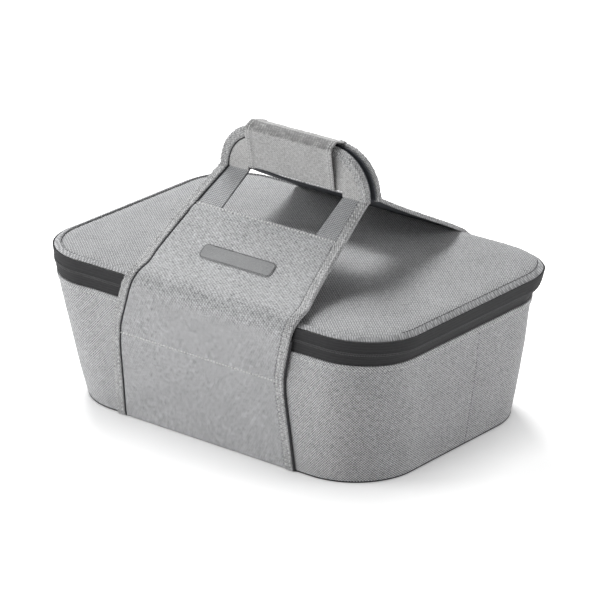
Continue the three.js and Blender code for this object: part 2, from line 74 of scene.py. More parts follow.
# Tub: half length, half width and corner radius of the outer wall, at the base and at the rim
BASE_SIZE = (0.199, 0.1405, 0.069)
RIM_SIZE = (0.225, 0.156, 0.066)
RIM_HEIGHT = 0.160
FABRIC = 0.0015
FOAM = 0.0054
LINING = 0.001
GAP = 0.0003
SEAM_FOOT = 0.016
SEAM_TOP = 0.022
PIPING_FOOT, PIPING_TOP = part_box("base_piping")[0].z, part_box("base_piping")[1].z
PIPING_WIDTH = 0.0024
FOOT_OVERLAP = 0.0012
BAND_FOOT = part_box("lower_zip_tape")[0].z
LOWER_TAPE_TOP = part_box("lower_zip_tape")[1].z
UPPER_TAPE_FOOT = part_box("upper_zip_tape")[0].z
UPPER_TAPE_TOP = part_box("upper_zip_tape")[1].z
ZIP_LINE = (LOWER_TAPE_TOP + UPPER_TAPE_FOOT) / 2
HINGE_HALF = 0.126
BAND_BULGE = 0.0016
COIL_PITCH = 0.0015
COIL_DEPTH = 0.0011
COIL_APART = 0.0003
COIL_PAST_HINGE = 0.006
TAPE = 0.001
TAPE_INSET = 0.0005
FOAM_INSET = FABRIC + GAP
LINING_INSET = FOAM_INSET + FOAM + GAP
INNER_INSET = LINING_INSET + LINING
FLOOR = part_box("base_foam")[1].z + GAP
LINING_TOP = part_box("inner_lining")[1].z
TUCK = 0.0005
TUCK_HEIGHT = 0.009
WALL_BULGE = 0.0009
BULGE_RUN = 0.048
FOOT_CALM = 0.02
SIDE_SEAM_INSET = 0.0022
LINING_CURVE = 0.010
HEM_HEIGHT = 0.0062
HEM_THICK = 0.0009

# How the soft tub strays from an even taper, by height: metres out at the +X end, metres out at
# the near -X corner, and metres that the rim sags at the +X end
STRAY_HEIGHTS = (0, 0.021, 0.085, 0.111, 0.137, 0.142, 0.150, 0.160, 0.163)
LEAN_RIGHT = (0.0012, 0.0002, -0.0032, -0.0056, -0.0064, -0.004, -0.0004, 0, 0)
LEAN_LEFT = (0, 0.001, 0.002, 0.003, 0.003, 0.0026, 0.0018, 0.001, 0)
SAG_RIGHT = (0, 0.0005, 0.0024, 0.003, 0.0038, 0.0036, 0.0028, 0.002, 0.0004)
REAR_SAG = 0.0022

# Where along the rim outline the stray runs in and out
STRAY_EASE = 0.04
LEFT_STRAY_RUN = 0.06
REAR_SAG_START = 0.03
REAR_SAG_EASE = 0.03
REAR_SAG_END = 0.1
REAR_SAG_FADE = 0.05

# Lid
CROWN = 0.005
BORDER_WIDTH = 0.007
BORDER_HEIGHT = 0.0034
LID_BINDING_WIDTH = 0.003
LID_PUFF = 0.0012
LID_PUFF_RUN = 0.012
LID_CALM = 0.03
LID_GATHER_RUN = 0.006
LID_EDGE_RUN = 0.0022
LID_FOAM_THICK = 0.006
SEAM_START = 0.135
BORDER_SHARES = ((0.1, 0), (0.12, 0.1), (0.2, 0.22), (0.4, 0.42), (0.7, 0.68), (0.92, 0.82),
                 (1, 0.7), (1, 0))

# Strap line, seen from the side
STRAP_FOOT = 0.0006
ROW_HEIGHT = JOINTS["front_strap_fold"][2]
STRAP_SEAT = 0.0004
FOOT_HALF = 0.1147
ROW_HALF = 0.1109
TURN_HALF = 0.1074
BEND_HALF = 0.0944
STRAP_SHIFT = 0.00275
FOOT_SKEW = -0.0039
ROW_SKEW = -0.008
TURN_SKEW = 0.020
BEND_SKEW = -0.00125
SKEW_EASE = 4.2
HALF_EASE = 1.55
EDGE_ROUND = 0.0233
TURN_START = (RIM_SIZE[1] + 0.0025, RIM_HEIGHT - 0.013)
TURN_END = (RIM_SIZE[1] - 0.014, RIM_HEIGHT + 0.0086)
START_ANGLE = math.radians(97)
TURN_ANGLE = math.radians(8)
TURN_PULL = 0.45
TURN_MARK = 0.1739
BEND_ANGLE = math.radians(31)
BEND = (0.0082, 0.2347)
BEND_RADIUS = 0.004
REAR_TURN_END = (0.1465, 0.1622)
REAR_TURN_ANGLE = math.radians(28)
TAIL = 0.005
EDGE = 0.0104
BACK_EDGE = 0.004
GROOVE = 0.0014
WINDOW_HALF = 0.0605
WINDOW_LENGTH = 0.050
WINDOW_SHIFT = 0.003
LOW_FACE = 0.0016
HIGH_FACE = 0.0027
LOW_EDGE = 0.0026
HIGH_EDGE = 0.0037
ROW_BLEND = 0.014
TOP_ROW = 0.0022
TOP_PUFF = 0.0095
ROW_DIMPLE = (0.0006, 0.0022)
TOP_DIMPLE = (0.0007, 0.0018)
TOP_SWELL = (-0.0009, 0.005)
LEG_SUNK = 0.0005
LEG_LAP = 0.004
BACKING_LOW, BACKING_HIGH = 0.0009, 0.0012
LEG_BACKING = 0.0013
# How far past the row of stitches the outer cord of painted gap shade runs
OUTER_SHADE_CORD_RUN = 0.052
EDGE_FOLD = 0.00026
EDGE_ROWS = (0.0024, 0.0078)
EDGE_PITCH = 0.0045
EDGE_ROW_SPOTS = (-0.0027, 0.0027)
EDGE_ROW_WIDTH = 0.0008
EDGE_ROW_DEPTH = 0.0004
EDGE_FOLDS = ((0.0037, 1), (0.0083, 0.6))
EDGE_SLANT = 0.35
CORD_SIDES = 10
# Girths of the very dark cords beside the bindings: painted shade of the groove inside a binding and
# of the gap against the wall
INNER_SHADE_CORD = 0.0008
OUTER_SHADE_CORD = 0.0012

# Handles and grip
HANDLE_FOOT = 0.2376
HANDLE_TOP = 0.2865
BAR_FOOT = 0.2428
SHOULDER = 0.048
HANDLE_FACE = 0.0097
HANDLE_BACK = 0.0042
LINING_EDGE = 0.0014
GRIP_HALF = 0.0555
GRIP_FOOT = 0.2424
GRIP_TOP = 0.2911
GRIP_OUT = 0.0154
GRIP_SKIN = 0.0016
WRAP_SHARES = ((0.06, 0), (0.6, 0.005), (0.76, 0.05), (0.88, 0.33), (1.05, 0.64), (1.14, 0.8),
               (1.1, 0.885), (0.92, 0.945), (0.55, 1.0), (0.3, 0.99), (0, 0.962))
FLAP_SHARES = ((0, 0.962), (0.33, 0.932), (0.6, 0.912), (0.8, 0.86), (0.93, 0.76), (1, 0.55),
               (0.96, 0.08))
# Heights along the grip's wrap of a band that its cloth darkens: painted shade of the creased ridge
RIDGE_DARK = (0.0515, 0.0645)
GRIP_HEM = 0.0072
GRIP_HEM_RISE = 0.0008
FLAP_PINCH = 0.004
FLAP_LIP = 0.003
CORE_THICK = 0.0042
BACK_THICK = 0.0012
EDGE_PAST_FOOT = 0.002
HEM_ROWS = (0.0018, 0.0056)

# Blank label
LABEL_HALF = 0.046
LABEL_WIDTH = 0.020
LABEL_BELOW = 0.047
LABEL_CORNER = 0.006

# Stitches
THREAD = 0.00046
STITCH = 0.0022
PITCH = 0.0031
BOLD_THREAD = 0.00086
BOLD_STITCH = 0.0025
BOLD_PITCH = 0.0038

# Least share of its flat rectangle that a sheet is said to cover
LEAST_SHARE = 0.31

# Unevenness of cloth: wave lengths of two directions and a start, and slow drifts of gathers as
# multiples of their period with the share of a turn that they shift it
UNEVEN_WAVES = ((0.061, 0.083, 0.4), (0.037, 0.029, 1.9), (0.019, 0.047, 4.2))
DRIFTS = ((5.3, 0.35), (2.3, 0.2))

# How uneven each cloth lies
WALL_UNEVEN = 0.00012
LINING_UNEVEN = 0.0002
TAPE_UNEVEN = 0.00008
LID_UNEVEN = 0.0003
PANEL_UNEVEN = 0.00022
LEG_UNEVEN = 0.00018
GRIP_UNEVEN = 0.0002

# Soft edges and gathers: radius of an edge, and period and size of the gathers
SHEET_EDGE = 0.0006
THIN_EDGE = 0.0003
WALL_EDGE = 0.0012
BINDING_EDGE = 0.0011
HEM_EDGE = 0.0005
HEM_GATHER = (0.0047, 0.00016)
LID_GATHER = (0.0066, 0.00022)
BORDER_GATHER = (0.0045, 0.0001)
BINDING_GATHER = (0.005, 0.0001)
NO_GATHER = (0.005, 0)

# Sizes of the patterns in the cloths, and depths of their relief
SWAY_SIZE = 0.012
CLOUD_SIZE = 0.03
CREASE_SIZE = 0.006
# Soft edges of that band of painted crease shade
CREASE_SHADE_EDGE = 0.003
TWILL_DEPTH = 0.00016
TAPE_FLECK = 0.0009
TAPE_DEPTH = 0.00015
LINING_CLOUD = 0.02
LINING_FLECK = 0.0012
LINING_DEPTH = 0.00006
THREAD_GRAIN = 0.0006
THREAD_DEPTH = 0.0001

# Studio: the camera's place round the part, its aim and its lens in millimetres
AZIMUTH = math.radians(39.122)
ELEVATION = math.radians(21.765)
CAMERA_FAR = 3.856
AIM_RIGHT, AIM_HEIGHT = 0.00236, 0.1085
LENS = 228.97
SENSOR = 36
WHITE = (1, 1, 1, 1)
AMBIENT = 0.1
FLOOR_COLOUR = (0.88, 0.88, 0.88, 1)
FLOOR_GLOW = 0.72
FLOOR_REACH = 12

# How far from the tub the floor shows its contact shade, and how steeply it fades
FLOOR_SHADE = 0.08
FLOOR_FADE = 1.3

# Lamps: name, place, power in watts and size, all aimed at LAMP_AIM
LAMP_AIM = (0, 0, 0.1)
LAMPS = (("left_softbox", (-2.3, -2.0, 1.6), 46, 1.8),
         ("front_softbox", (-0.6, -3.2, 0.9), 28, 1.8),
         ("right_softbox", (2.6, 1.6, 0.8), 41, 1.8),
         ("top_softbox", (-1.6, 1.2, 2.4), 80, 1.2))

# Mesh steps
FINE = 0.0016
MEDIUM = 0.0026
COARSE = 0.006
SHARP = math.radians(38)


# Numbers

def lerp(a, b, share):
    return a + (b - a) * share


def smooth(share):
    share = np.clip(share, 0, 1)
    return share * share * (3 - 2 * share)


def rolled(distance, radius):
    """How far a rolled edge drops at a distance from it."""
    inside = radius - np.clip(distance, 0, radius)
    return radius - np.sqrt(np.maximum(radius * radius - inside * inside, 0))


def stops(length, step, edge=0.0):
    """Places from 0 to length, with closer ones near both ends where the edge is rolled."""
    count = max(2, int(round((length - 2 * edge) / step)) + 1)
    middle = np.linspace(edge, length - edge, count)
    if not edge:
        return middle
    near = edge * np.array([0, 0.12, 0.4])
    return np.concatenate([near, middle, (length - near)[::-1]])


def wobble(a, b, size):
    """A soft, repeatable unevenness over two lengths."""
    total = 0
    for wide, tall, start in UNEVEN_WAVES:
        total = total + np.sin(math.tau * a / wide + start) * np.cos(math.tau * b / tall + start)
    return size * total / len(UNEVEN_WAVES)


def pucker(along, period, size):
    """Small gathers along a sewn edge, of uneven length."""
    drift = sum(share * np.sin(math.tau * along / (period * slow)) for slow, share in DRIFTS)
    return size * np.sin(math.tau * along / period + math.tau * drift)


def grid(*parts):
    """Arrays brought to one shape, as the coordinates of points."""
    return np.stack(np.broadcast_arrays(*parts), -1)


def lengths_of(line):
    """Metres along a line at each of its points."""
    return np.concatenate([[0], np.cumsum(np.linalg.norm(np.diff(line, axis=0), axis=1))])


# Meshes

def normals(points, wrap=(False, False), flip=False):
    def slope(axis):
        if wrap[axis]:
            return np.roll(points, -1, axis) - np.roll(points, 1, axis)
        return np.gradient(points, axis=axis)
    across = np.cross(slope(1), slope(0))
    across = across / np.maximum(np.linalg.norm(across, axis=-1, keepdims=True), 1e-12)
    return -across if flip else across


def placed(name, data):
    """A new object in the scene."""
    piece = bpy.data.objects.new(name, data)
    bpy.context.scene.collection.objects.link(piece)
    return piece


def put(piece, body, *nodes):
    """A piece on a body, in the place of the CAD nodes that are named."""
    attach(piece, body)
    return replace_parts(piece, *nodes) if nodes else piece


def mesh_object(name, verts, faces, corners_uv, look):
    material, slot = look
    mesh = bpy.data.meshes.new(name)
    mesh.from_pydata(verts.tolist(), [], faces)
    if corners_uv is not None:
        layer = mesh.uv_layers.new(name="weave")
        layer.data.foreach_set("uv", corners_uv.astype(np.float32).ravel())
    mesh.materials.append(material)
    mesh.shade_smooth()
    mesh.set_sharp_from_angle(angle=SHARP)
    piece = placed(name, mesh)
    return piece


def surface(name, points, uv, look, wrap=(False, False), thick=0.0, keep=None, flip=False,
            caps=False):
    """A grid of points as a mesh: a sheet with a thickness, or a tube with its ends capped."""
    rows, cols = points.shape[:2]
    i, j = np.meshgrid(
        np.arange(rows - 1 + wrap[0]), np.arange(cols - 1 + wrap[1]), indexing="ij")
    if keep is not None:
        i, j = i[keep], j[keep]
    i, j = i.ravel(), j.ravel()
    ring = [(i, j), (i, j + 1), (i + 1, j + 1), (i + 1, j)]
    wide = cols + wrap[1]
    faces = np.stack([(a % rows) * cols + b % cols for a, b in ring], 1)
    marks = np.stack([a * wide + b for a, b in ring], 1)
    verts = points.reshape(-1, 3)
    if thick:
        count = len(verts)
        inner = points - thick * normals(points, wrap, flip)
        verts = np.concatenate([verts, inner.reshape(-1, 3)])
        sides = [np.concatenate([part[:, (k + turn) % 4] for k in range(4)])
                 for part in (faces, marks) for turn in (0, 1)]
        a, b = sides[:2]
        border = ~np.isin(a * count + b, b * count + a)
        a, b, mark_a, mark_b = (side[border] for side in sides)
        rim = np.stack([b, a, a + count, b + count], 1)
        rim_marks = np.stack([mark_b, mark_a, mark_a, mark_b], 1)
        faces = np.concatenate([faces, faces[:, ::-1] + count, rim])
        marks = np.concatenate([marks, marks[:, ::-1], rim_marks])
    if flip:
        faces, marks = faces[:, ::-1], marks[:, ::-1]
    used, faces = np.unique(faces, return_inverse=True)
    faces = faces.reshape(-1, 4).tolist()
    corner_marks = marks.ravel().tolist()
    if caps:
        first = list(range(cols))[::-1]
        last = [(rows - 1) * cols + k for k in range(cols)]
        for loop in (first, last):
            loop = loop[::-1] if flip else loop
            faces.append(loop)
            corner_marks += [(k // cols) * wide + k % cols for k in loop]
    spots = uv.reshape(-1, 2)[np.array(corner_marks)]
    return mesh_object(name, verts[used], faces, spots, look)


def declare_sheet(piece, uv):
    """Works out the width, length and covered area of a sheet's flat cut from its grid's weave
    coordinates; nothing is kept, set or returned.
    """
    spots = uv.reshape(-1, 2)
    width, length = (float(size) for size in spots.max(0) - spots.min(0))
    a = uv[1:, 1:] - uv[:-1, :-1]
    b = uv[1:, :-1] - uv[:-1, 1:]
    area = float((np.abs(a[..., 0] * b[..., 1] - a[..., 1] * b[..., 0]) / 2).sum())
    area = max(min(area, width * length), LEAST_SHARE * width * length)


def rounded(a0, a1, b0, b1, radius, steps=4):
    """A closed loop round a rectangle with rounded corners."""
    loop = []
    corners = ((a1 - radius, b0 + radius, -90), (a1 - radius, b1 - radius, 0),
               (a0 + radius, b1 - radius, 90), (a0 + radius, b0 + radius, 180))
    for a, b, start in corners:
        for k in range(steps + 1):
            angle = math.radians(start + 90 * k / steps)
            loop.append((a + radius * math.cos(angle), b + radius * math.sin(angle)))
    return np.array(loop)


def loop_lengths(loop):
    return lengths_of(np.concatenate([loop, loop[:1]]))


def tube_faces(rings, sides):
    """Faces round rings of points, with both ends closed."""
    faces = [[i * sides + k, i * sides + (k + 1) % sides,
              (i + 1) * sides + (k + 1) % sides, (i + 1) * sides + k]
             for i in range(rings - 1) for k in range(sides)]
    faces.append(list(range(sides))[::-1])
    faces.append([(rings - 1) * sides + k for k in range(sides)])
    return faces


# Stitches: small sunk capsules of thread

def stitch_template(girth, length, rings=5, sides=6):
    verts = []
    for i in range(rings):
        share = 2 * i / (rings - 1) - 1
        around = girth * (1 - 0.55 * share ** 4)
        for k in range(sides):
            angle = math.tau * k / sides
            verts.append((share * length / 2, around * 1.25 * math.cos(angle),
                          around * math.sin(angle) - girth * share ** 4))
    return np.array(verts), tube_faces(rings, sides)


def resample(points, up, pitch):
    """Places, directions and normals at even spacing along a line."""
    lengths = lengths_of(points)
    count = max(1, int(lengths[-1] / pitch))
    at = (np.arange(count) + 0.5) * lengths[-1] / count

    def read(values, where):
        return np.stack([np.interp(where, lengths, values[:, k]) for k in range(3)], 1)
    place = read(points, at)
    ahead = read(points, np.minimum(at + pitch / 4, lengths[-1])) - read(points, at - pitch / 4)
    return place, ahead, read(up, at)


def instances(name, template, places, aheads, ups, look):
    verts, faces = template
    ahead = aheads / np.linalg.norm(aheads, axis=1, keepdims=True)
    side = np.cross(ups, ahead)
    side = side / np.linalg.norm(side, axis=1, keepdims=True)
    up = np.cross(ahead, side)
    turn = np.stack([ahead, side, up], 2)
    every = np.einsum("nij,vj->nvi", turn, verts) + places[:, None]
    count = len(verts)
    copies = [[k + n * count for k in face] for n in range(len(places)) for face in faces]
    return mesh_object(name, every.reshape(-1, 3), copies, None, look)


def stitches(name, rows, look, pitch=PITCH, girth=THREAD, length=STITCH):
    """Rows of stitches as one piece; each row is its points and the outward directions there."""
    found = [resample(points, up, pitch) for points, up in rows]
    place, ahead, up = (np.concatenate(part) for part in zip(*found))
    return instances(name, stitch_template(girth, length), place, ahead, up, look)


# Materials

def nodes_of(name):
    material = bpy.data.materials.new(name)
    material.use_nodes = True
    tree = material.node_tree
    return material, tree, tree.nodes["Principled BSDF"]


def new_node(tree, kind, **inputs):
    """A shader node with values or links on its inputs."""
    node = tree.nodes.new("ShaderNode" + kind)
    for name, value in inputs.items():
        socket = node.inputs[name.replace("_", " ")]
        if isinstance(value, bpy.types.NodeSocket):
            tree.links.new(value, socket)
        else:
            socket.default_value = value
    return node


def math_node(tree, kind, *values):
    node = tree.nodes.new("ShaderNodeMath")
    node.operation = kind
    for socket, value in zip(node.inputs, values):
        if isinstance(value, (int, float)):
            socket.default_value = value
        else:
            tree.links.new(value, socket)
    return node.outputs[0]


def mixed(tree, start, *parts):
    """A start value plus shares of patterns."""
    for pattern, share in parts:
        start = math_node(tree, "MULTIPLY_ADD", pattern, share, start)
    return start


def wave(tree, length, period, phase=0.0):
    return math_node(tree, "SINE", mixed(tree, phase, (length, math.tau / period)))


def ramp(tree, value, start, end):
    """0 up to one value of an input and 1 past another, with a soft change between."""
    low, high = min(start, end), max(start, end)
    rising = int(start < end)
    node = new_node(tree, "MapRange", Value=value, From_Min=low, From_Max=high,
                    To_Min=1 - rising, To_Max=rising)
    node.interpolation_type = "SMOOTHSTEP"
    return node.outputs["Result"]


def noise(tree, vector, size, detail=2.0):
    node = new_node(tree, "TexNoise", Scale=1 / size, Detail=detail, Vector=vector)
    return node.outputs["Fac"]


def stretched(tree, vector, x, y):
    return new_node(tree, "Mapping", Scale=(x, y, 1), Vector=vector).outputs["Vector"]


def dress(tree, shader, factor, dark, light, height, depth, rough):
    """Colour, relief and roughness of a shader from patterns."""
    mix = tree.nodes.new("ShaderNodeMix")
    mix.data_type = "RGBA"
    tree.links.new(factor, mix.inputs["Factor"])
    mix.inputs["A"].default_value = (*dark, 1)
    mix.inputs["B"].default_value = (*light, 1)
    bump = new_node(tree, "Bump", Distance=depth, Strength=0.6, Height=height)
    tree.links.new(mix.outputs["Result"], shader.inputs["Base Color"])
    tree.links.new(bump.outputs["Normal"], shader.inputs["Normal"])
    tree.links.new(rough, shader.inputs["Roughness"])


def weave_coordinates(tree):
    node = tree.nodes.new("ShaderNodeUVMap")
    node.uv_map = "weave"
    apart = new_node(tree, "SeparateXYZ", Vector=node.outputs["UV"])
    return node.outputs["UV"], apart.outputs["X"], apart.outputs["Y"]


def twill(name, dark, light, rib=0.0024, lean=1.0, ribs=0.3, cross=0.2, flecks=1.1, clouds=0.3,
          fleck=0.0016, crease_shade=None, bias=None):
    """A heathered twill: askew ribs crossed by their yarns, light and dark flecks along both
    yarns, and soft cloudy unevenness. The band between two heights of v given in the last argument is
    darkened with creased noise: painted shade of a creased ridge."""
    material, tree, shader = nodes_of(name)
    uv, u, v = weave_coordinates(tree)
    bias = -lean if bias is None else bias
    sway = noise(tree, uv, SWAY_SIZE)
    across = mixed(tree, u, (v, lean), (sway, rib * 0.9))
    beside = mixed(tree, v, (u, bias))
    rib_wave = wave(tree, across, rib * math.hypot(1, lean))
    yarn_wave = wave(tree, beside, rib * math.hypot(1, bias) * 0.95)
    checks = math_node(tree, "MULTIPLY", rib_wave, yarn_wave)
    warp = noise(tree, stretched(tree, uv, 1, 0.3), fleck)
    weft = noise(tree, stretched(tree, uv, 0.3, 1), fleck)
    both = math_node(tree, "ADD", warp, weft)
    cloudy = noise(tree, uv, CLOUD_SIZE, 3.0)
    factor = mixed(tree, 0.5 - flecks - clouds / 2, (rib_wave, ribs), (yarn_wave, cross),
                   (checks, cross), (both, flecks), (cloudy, clouds))
    # Painted shade of a creased ridge: a darker band between two heights of v
    if crease_shade:
        creases = noise(tree, stretched(tree, uv, 0.6, 1.6), CREASE_SIZE, 3.0)
        band = math_node(tree, "MULTIPLY", ramp(tree, v, crease_shade[0], crease_shade[0] + CREASE_SHADE_EDGE),
                         ramp(tree, v, crease_shade[1] + CREASE_SHADE_EDGE, crease_shade[1]))
        factor = mixed(tree, factor, (band, mixed(tree, 0.3, (creases, -1.6))))
    height = mixed(tree, rib_wave, (checks, 0.5), (both, 0.8))
    rough = mixed(tree, 0.85, (cloudy, 0.1))
    dress(tree, shader, factor, dark, light, height, TWILL_DEPTH, rough)
    shader.inputs["Specular IOR Level"].default_value = 0.2
    shader.inputs["Sheen Weight"].default_value = 0.08
    shader.inputs["Sheen Roughness"].default_value = 0.5
    return material


def ribbed(name, dark, light, rib=0.0011, roughness=0.7):
    """A tape woven with fine ribs along its length."""
    material, tree, shader = nodes_of(name)
    uv, u, v = weave_coordinates(tree)
    picks = wave(tree, u, rib * 0.8)
    ribs = mixed(tree, wave(tree, v, rib), (wave(tree, v, rib * 2.7, 1.0), 0.8))
    fine = noise(tree, stretched(tree, uv, 0.2, 1), TAPE_FLECK)
    factor = mixed(tree, fine, (ribs, 0.16), (picks, 0.06))
    height = mixed(tree, ribs, (picks, 0.35))
    rough = mixed(tree, roughness - 0.07, (fine, 0.15))
    dress(tree, shader, factor, dark, light, height, TAPE_DEPTH, rough)
    shader.inputs["Specular IOR Level"].default_value = 0.3
    return material


def plain_weave(name, dark, light, thread=0.0007, roughness=0.75):
    """A smooth, close lining cloth."""
    material, tree, shader = nodes_of(name)
    uv, u, v = weave_coordinates(tree)
    threads = math_node(tree, "MULTIPLY", wave(tree, u, thread), wave(tree, v, thread))
    clouds = noise(tree, uv, LINING_CLOUD, 3.0)
    flecks = noise(tree, stretched(tree, uv, 0.3, 1), LINING_FLECK)
    factor = mixed(tree, -0.5, (threads, 0.1), (clouds, 0.8), (flecks, 1.1))
    rough = mixed(tree, roughness - 0.06, (clouds, 0.12))
    dress(tree, shader, factor, dark, light, threads, LINING_DEPTH, rough)
    return material


def grained(name, dark, light, roughness, grain=THREAD_GRAIN, depth=THREAD_DEPTH, metallic=0.0):
    """A solid with a fine even grain in object space: thread, foam, board, plastic or metal."""
    material, tree, shader = nodes_of(name)
    place = tree.nodes.new("ShaderNodeTexCoord").outputs["Object"]
    fine = noise(tree, place, grain, 3.0)
    wide = noise(tree, place, grain * 9, 2.0)
    factor = mixed(tree, 0.0, (fine, 0.5), (wide, 0.5))
    rough = mixed(tree, roughness - 0.1, (fine, 0.2))
    dress(tree, shader, factor, dark, light, fine, depth, rough)
    shader.inputs["Metallic"].default_value = metallic
    return material


CLOTH = (twill("carrier_cloth", (0.17, 0.172, 0.177), (0.80, 0.802, 0.812), rib=0.0021, ribs=0.36,
               cross=0.28, flecks=0.8, clouds=0.2), "carrier_cloth")
LID_CLOTH = (twill("lid_cloth", (0.19, 0.193, 0.198), (0.65, 0.654, 0.666), rib=0.0024, ribs=0.26,
                   cross=0.18, flecks=0.7, lean=1.25, bias=2.5), "carrier_cloth")
STRAP_CLOTH = (twill("strap_cloth", (0.24, 0.242, 0.247), (0.71, 0.715, 0.728), rib=0.0025,
                     lean=1.62, ribs=0.18, cross=0.16, flecks=1.25), "strap_cloth")
LEG_CLOTH = (twill("leg_cloth", (0.2, 0.204, 0.21), (0.68, 0.69, 0.706), rib=0.0022, lean=0.0,
                   ribs=0.35, cross=0.35, flecks=0.5), "strap_cloth")
HANDLE_CLOTH = (twill("handle_cloth", (0.28, 0.278, 0.276), (0.84, 0.835, 0.83), rib=0.0015,
                      ribs=0.25, flecks=0.9, fleck=0.0012), "strap_cloth")
BINDING = (twill("edge_binding", (0.2, 0.201, 0.204), (0.73, 0.732, 0.737), rib=0.002, lean=-0.6,
                 clouds=0.7, flecks=1.1, fleck=0.002), "edge_binding")
ZIP_TAPE = (ribbed("zip_tape", (0.02, 0.02, 0.021), (0.05, 0.05, 0.052), roughness=0.85), "zip_tape")
SLATE = (plain_weave("slate_lining", (0.052, 0.055, 0.064), (0.11, 0.116, 0.132)), "slate_lining")
# The grip's cloth darkens a band over its creased ridge: painted shade
GRIP_CLOTH = (twill("grip_cloth", (0.25, 0.249, 0.248), (0.82, 0.817, 0.814), rib=0.0015,
                    ribs=0.25, flecks=0.9, fleck=0.0012, crease_shade=RIDGE_DARK), "strap_cloth")
LABEL_CLOTH = (twill("woven_label", (0.22, 0.225, 0.23), (0.47, 0.475, 0.48), rib=0.0009,
                     ribs=0.12, flecks=0.5, fleck=0.0011), "woven_label")
EDGE_THREAD = (grained("label_edge", (0.12, 0.12, 0.125), (0.2, 0.2, 0.205), 0.7), "woven_label")
# Very dark cloth for the cords beside the bindings: painted shade of the gaps there
SHADE_CORD = (plain_weave("painted_gap_shade", (0.012, 0.012, 0.014), (0.04, 0.041, 0.045)), "slate_lining")
FOAM_LOOK = (grained("foam", (0.62, 0.6, 0.55), (0.82, 0.8, 0.75), 0.95, 0.0012, 0.0003), "foam")
BOARD_LOOK = (grained("board", (0.025, 0.025, 0.027), (0.05, 0.05, 0.053), 0.6, 0.002), "board")
COIL_LOOK = (grained("zip_coil", (0.045, 0.045, 0.046), (0.09, 0.09, 0.093), 0.62, 0.001, 0.00005),
             "zip_coil")
METAL = (grained("dark_metal", (0.09, 0.09, 0.095), (0.16, 0.16, 0.168), 0.36, 0.0015, 0.00002,
                 metallic=1.0), "dark_metal")
WHITE_THREAD = (grained("white_thread", (0.74, 0.74, 0.73), (0.95, 0.95, 0.94), 0.7),
                "edge_binding")
GREY_THREAD = (grained("grey_thread", (0.6, 0.6, 0.6), (0.85, 0.85, 0.85), 0.7), "edge_binding")
DARK_THREAD = (grained("dark_thread", (0.05, 0.05, 0.053), (0.1, 0.1, 0.105), 0.8),
               "slate_lining")
SEAM_THREAD = (grained("seam_thread", (0.1, 0.1, 0.104), (0.22, 0.22, 0.226), 0.8),
               "edge_binding")
HEM_THREAD = (grained("hem_thread", (0.62, 0.62, 0.61), (0.8, 0.8, 0.79), 0.8), "carrier_cloth")


# Outline of the tapered, round-cornered tub. A place on it is metres along the rim outline from
# the middle of the front, positive towards +X.

SIDE_X = (0, 1, 1, 1, 1, 0)
SIDE_Y = (-1, -1, -1, 1, 1, 1)
TURNED = tuple(math.radians(a) for a in (-90, -90, 0, 0, 90, 90))


def size_at(z):
    share = np.clip(z / RIM_HEIGHT, 0, 1)
    return tuple(lerp(a, b, share) for a, b in zip(BASE_SIZE, RIM_SIZE))


def legs_at(z):
    """Lengths of the five stretches of half an outline, from the middle of the front."""
    length, width, corner = size_at(z)
    quarter = corner * math.pi / 2
    return (length - corner, quarter, 2 * (width - corner), quarter, length - corner)


KNOTS = np.concatenate([[0], np.cumsum(legs_at(RIM_HEIGHT))])
HALF_ROUND = KNOTS[-1]


def stray(turned, place, z):
    """How far out and down the soft wall lies from the even taper."""
    near = smooth((place - KNOTS[1]) / (KNOTS[2] - KNOTS[1]))
    far = smooth((KNOTS[4] + STRAY_EASE / 2 - place) / STRAY_EASE)
    right = np.where(turned > 0, near * far, 0)
    from_corner = np.abs(place - (KNOTS[1] + KNOTS[2]) / 2)
    left = np.where(turned < 0, smooth(1.25 - from_corner / LEFT_STRAY_RUN), 0)
    rear = smooth((place - KNOTS[3] - REAR_SAG_START) / REAR_SAG_EASE)
    rear = np.where(turned > 0, rear, 0) * smooth((KNOTS[5] + REAR_SAG_END - place) / REAR_SAG_FADE)
    out = (right * np.interp(z, STRAY_HEIGHTS, LEAN_RIGHT)
           + left * np.interp(z, STRAY_HEIGHTS, LEAN_LEFT))
    down = (right * np.interp(z, STRAY_HEIGHTS, SAG_RIGHT)
            + rear * REAR_SAG * np.clip((z - ZIP_LINE) / (RIM_HEIGHT - ZIP_LINE), 0, 1))
    return out, down


def wall(s, z, inset):
    """Points of the wall at places s and heights z, moved in by an inset."""
    s, z, inset = np.broadcast_arrays(s, z, inset)
    turned = (s + HALF_ROUND) % (2 * HALF_ROUND) - HALF_ROUND
    place = np.abs(turned)
    length, width, corner = size_at(z)
    angle = np.interp(place, KNOTS, TURNED)
    out, down = stray(turned, place, z)
    reach = corner - inset + out
    x = np.interp(place, KNOTS, SIDE_X) * (length - corner) + reach * np.cos(angle)
    y = np.interp(place, KNOTS, SIDE_Y) * (width - corner) + reach * np.sin(angle)
    return np.stack([np.sign(turned) * x, y, z - down], -1)


def round_length(s, z):
    """Metres along the outline at height z from the middle of the front."""
    place = np.abs(s)
    folded = np.minimum(place, 2 * HALF_ROUND - place)
    total, whole = 0, 0
    for start, end, leg in zip(KNOTS[:-1], KNOTS[1:], legs_at(z)):
        total = total + np.clip((folded - start) / (end - start), 0, 1) * leg
        whole = whole + leg
    return np.sign(s) * np.where(place > HALF_ROUND, 2 * whole - total, total)


def tuck(z):
    """How far the foot of the wall curls in over the base."""
    return TUCK * np.clip(1 - z / TUCK_HEIGHT, 0, 1) ** 2


def wall_uv(s, z):
    s, z = np.broadcast_arrays(s, z)
    return grid(round_length(s, z), z)


def rear_place(x):
    """The place on the +X half of the rear where the rim has this x."""
    return HALF_ROUND - x * (KNOTS[5] - KNOTS[4]) / (RIM_SIZE[0] - RIM_SIZE[2])


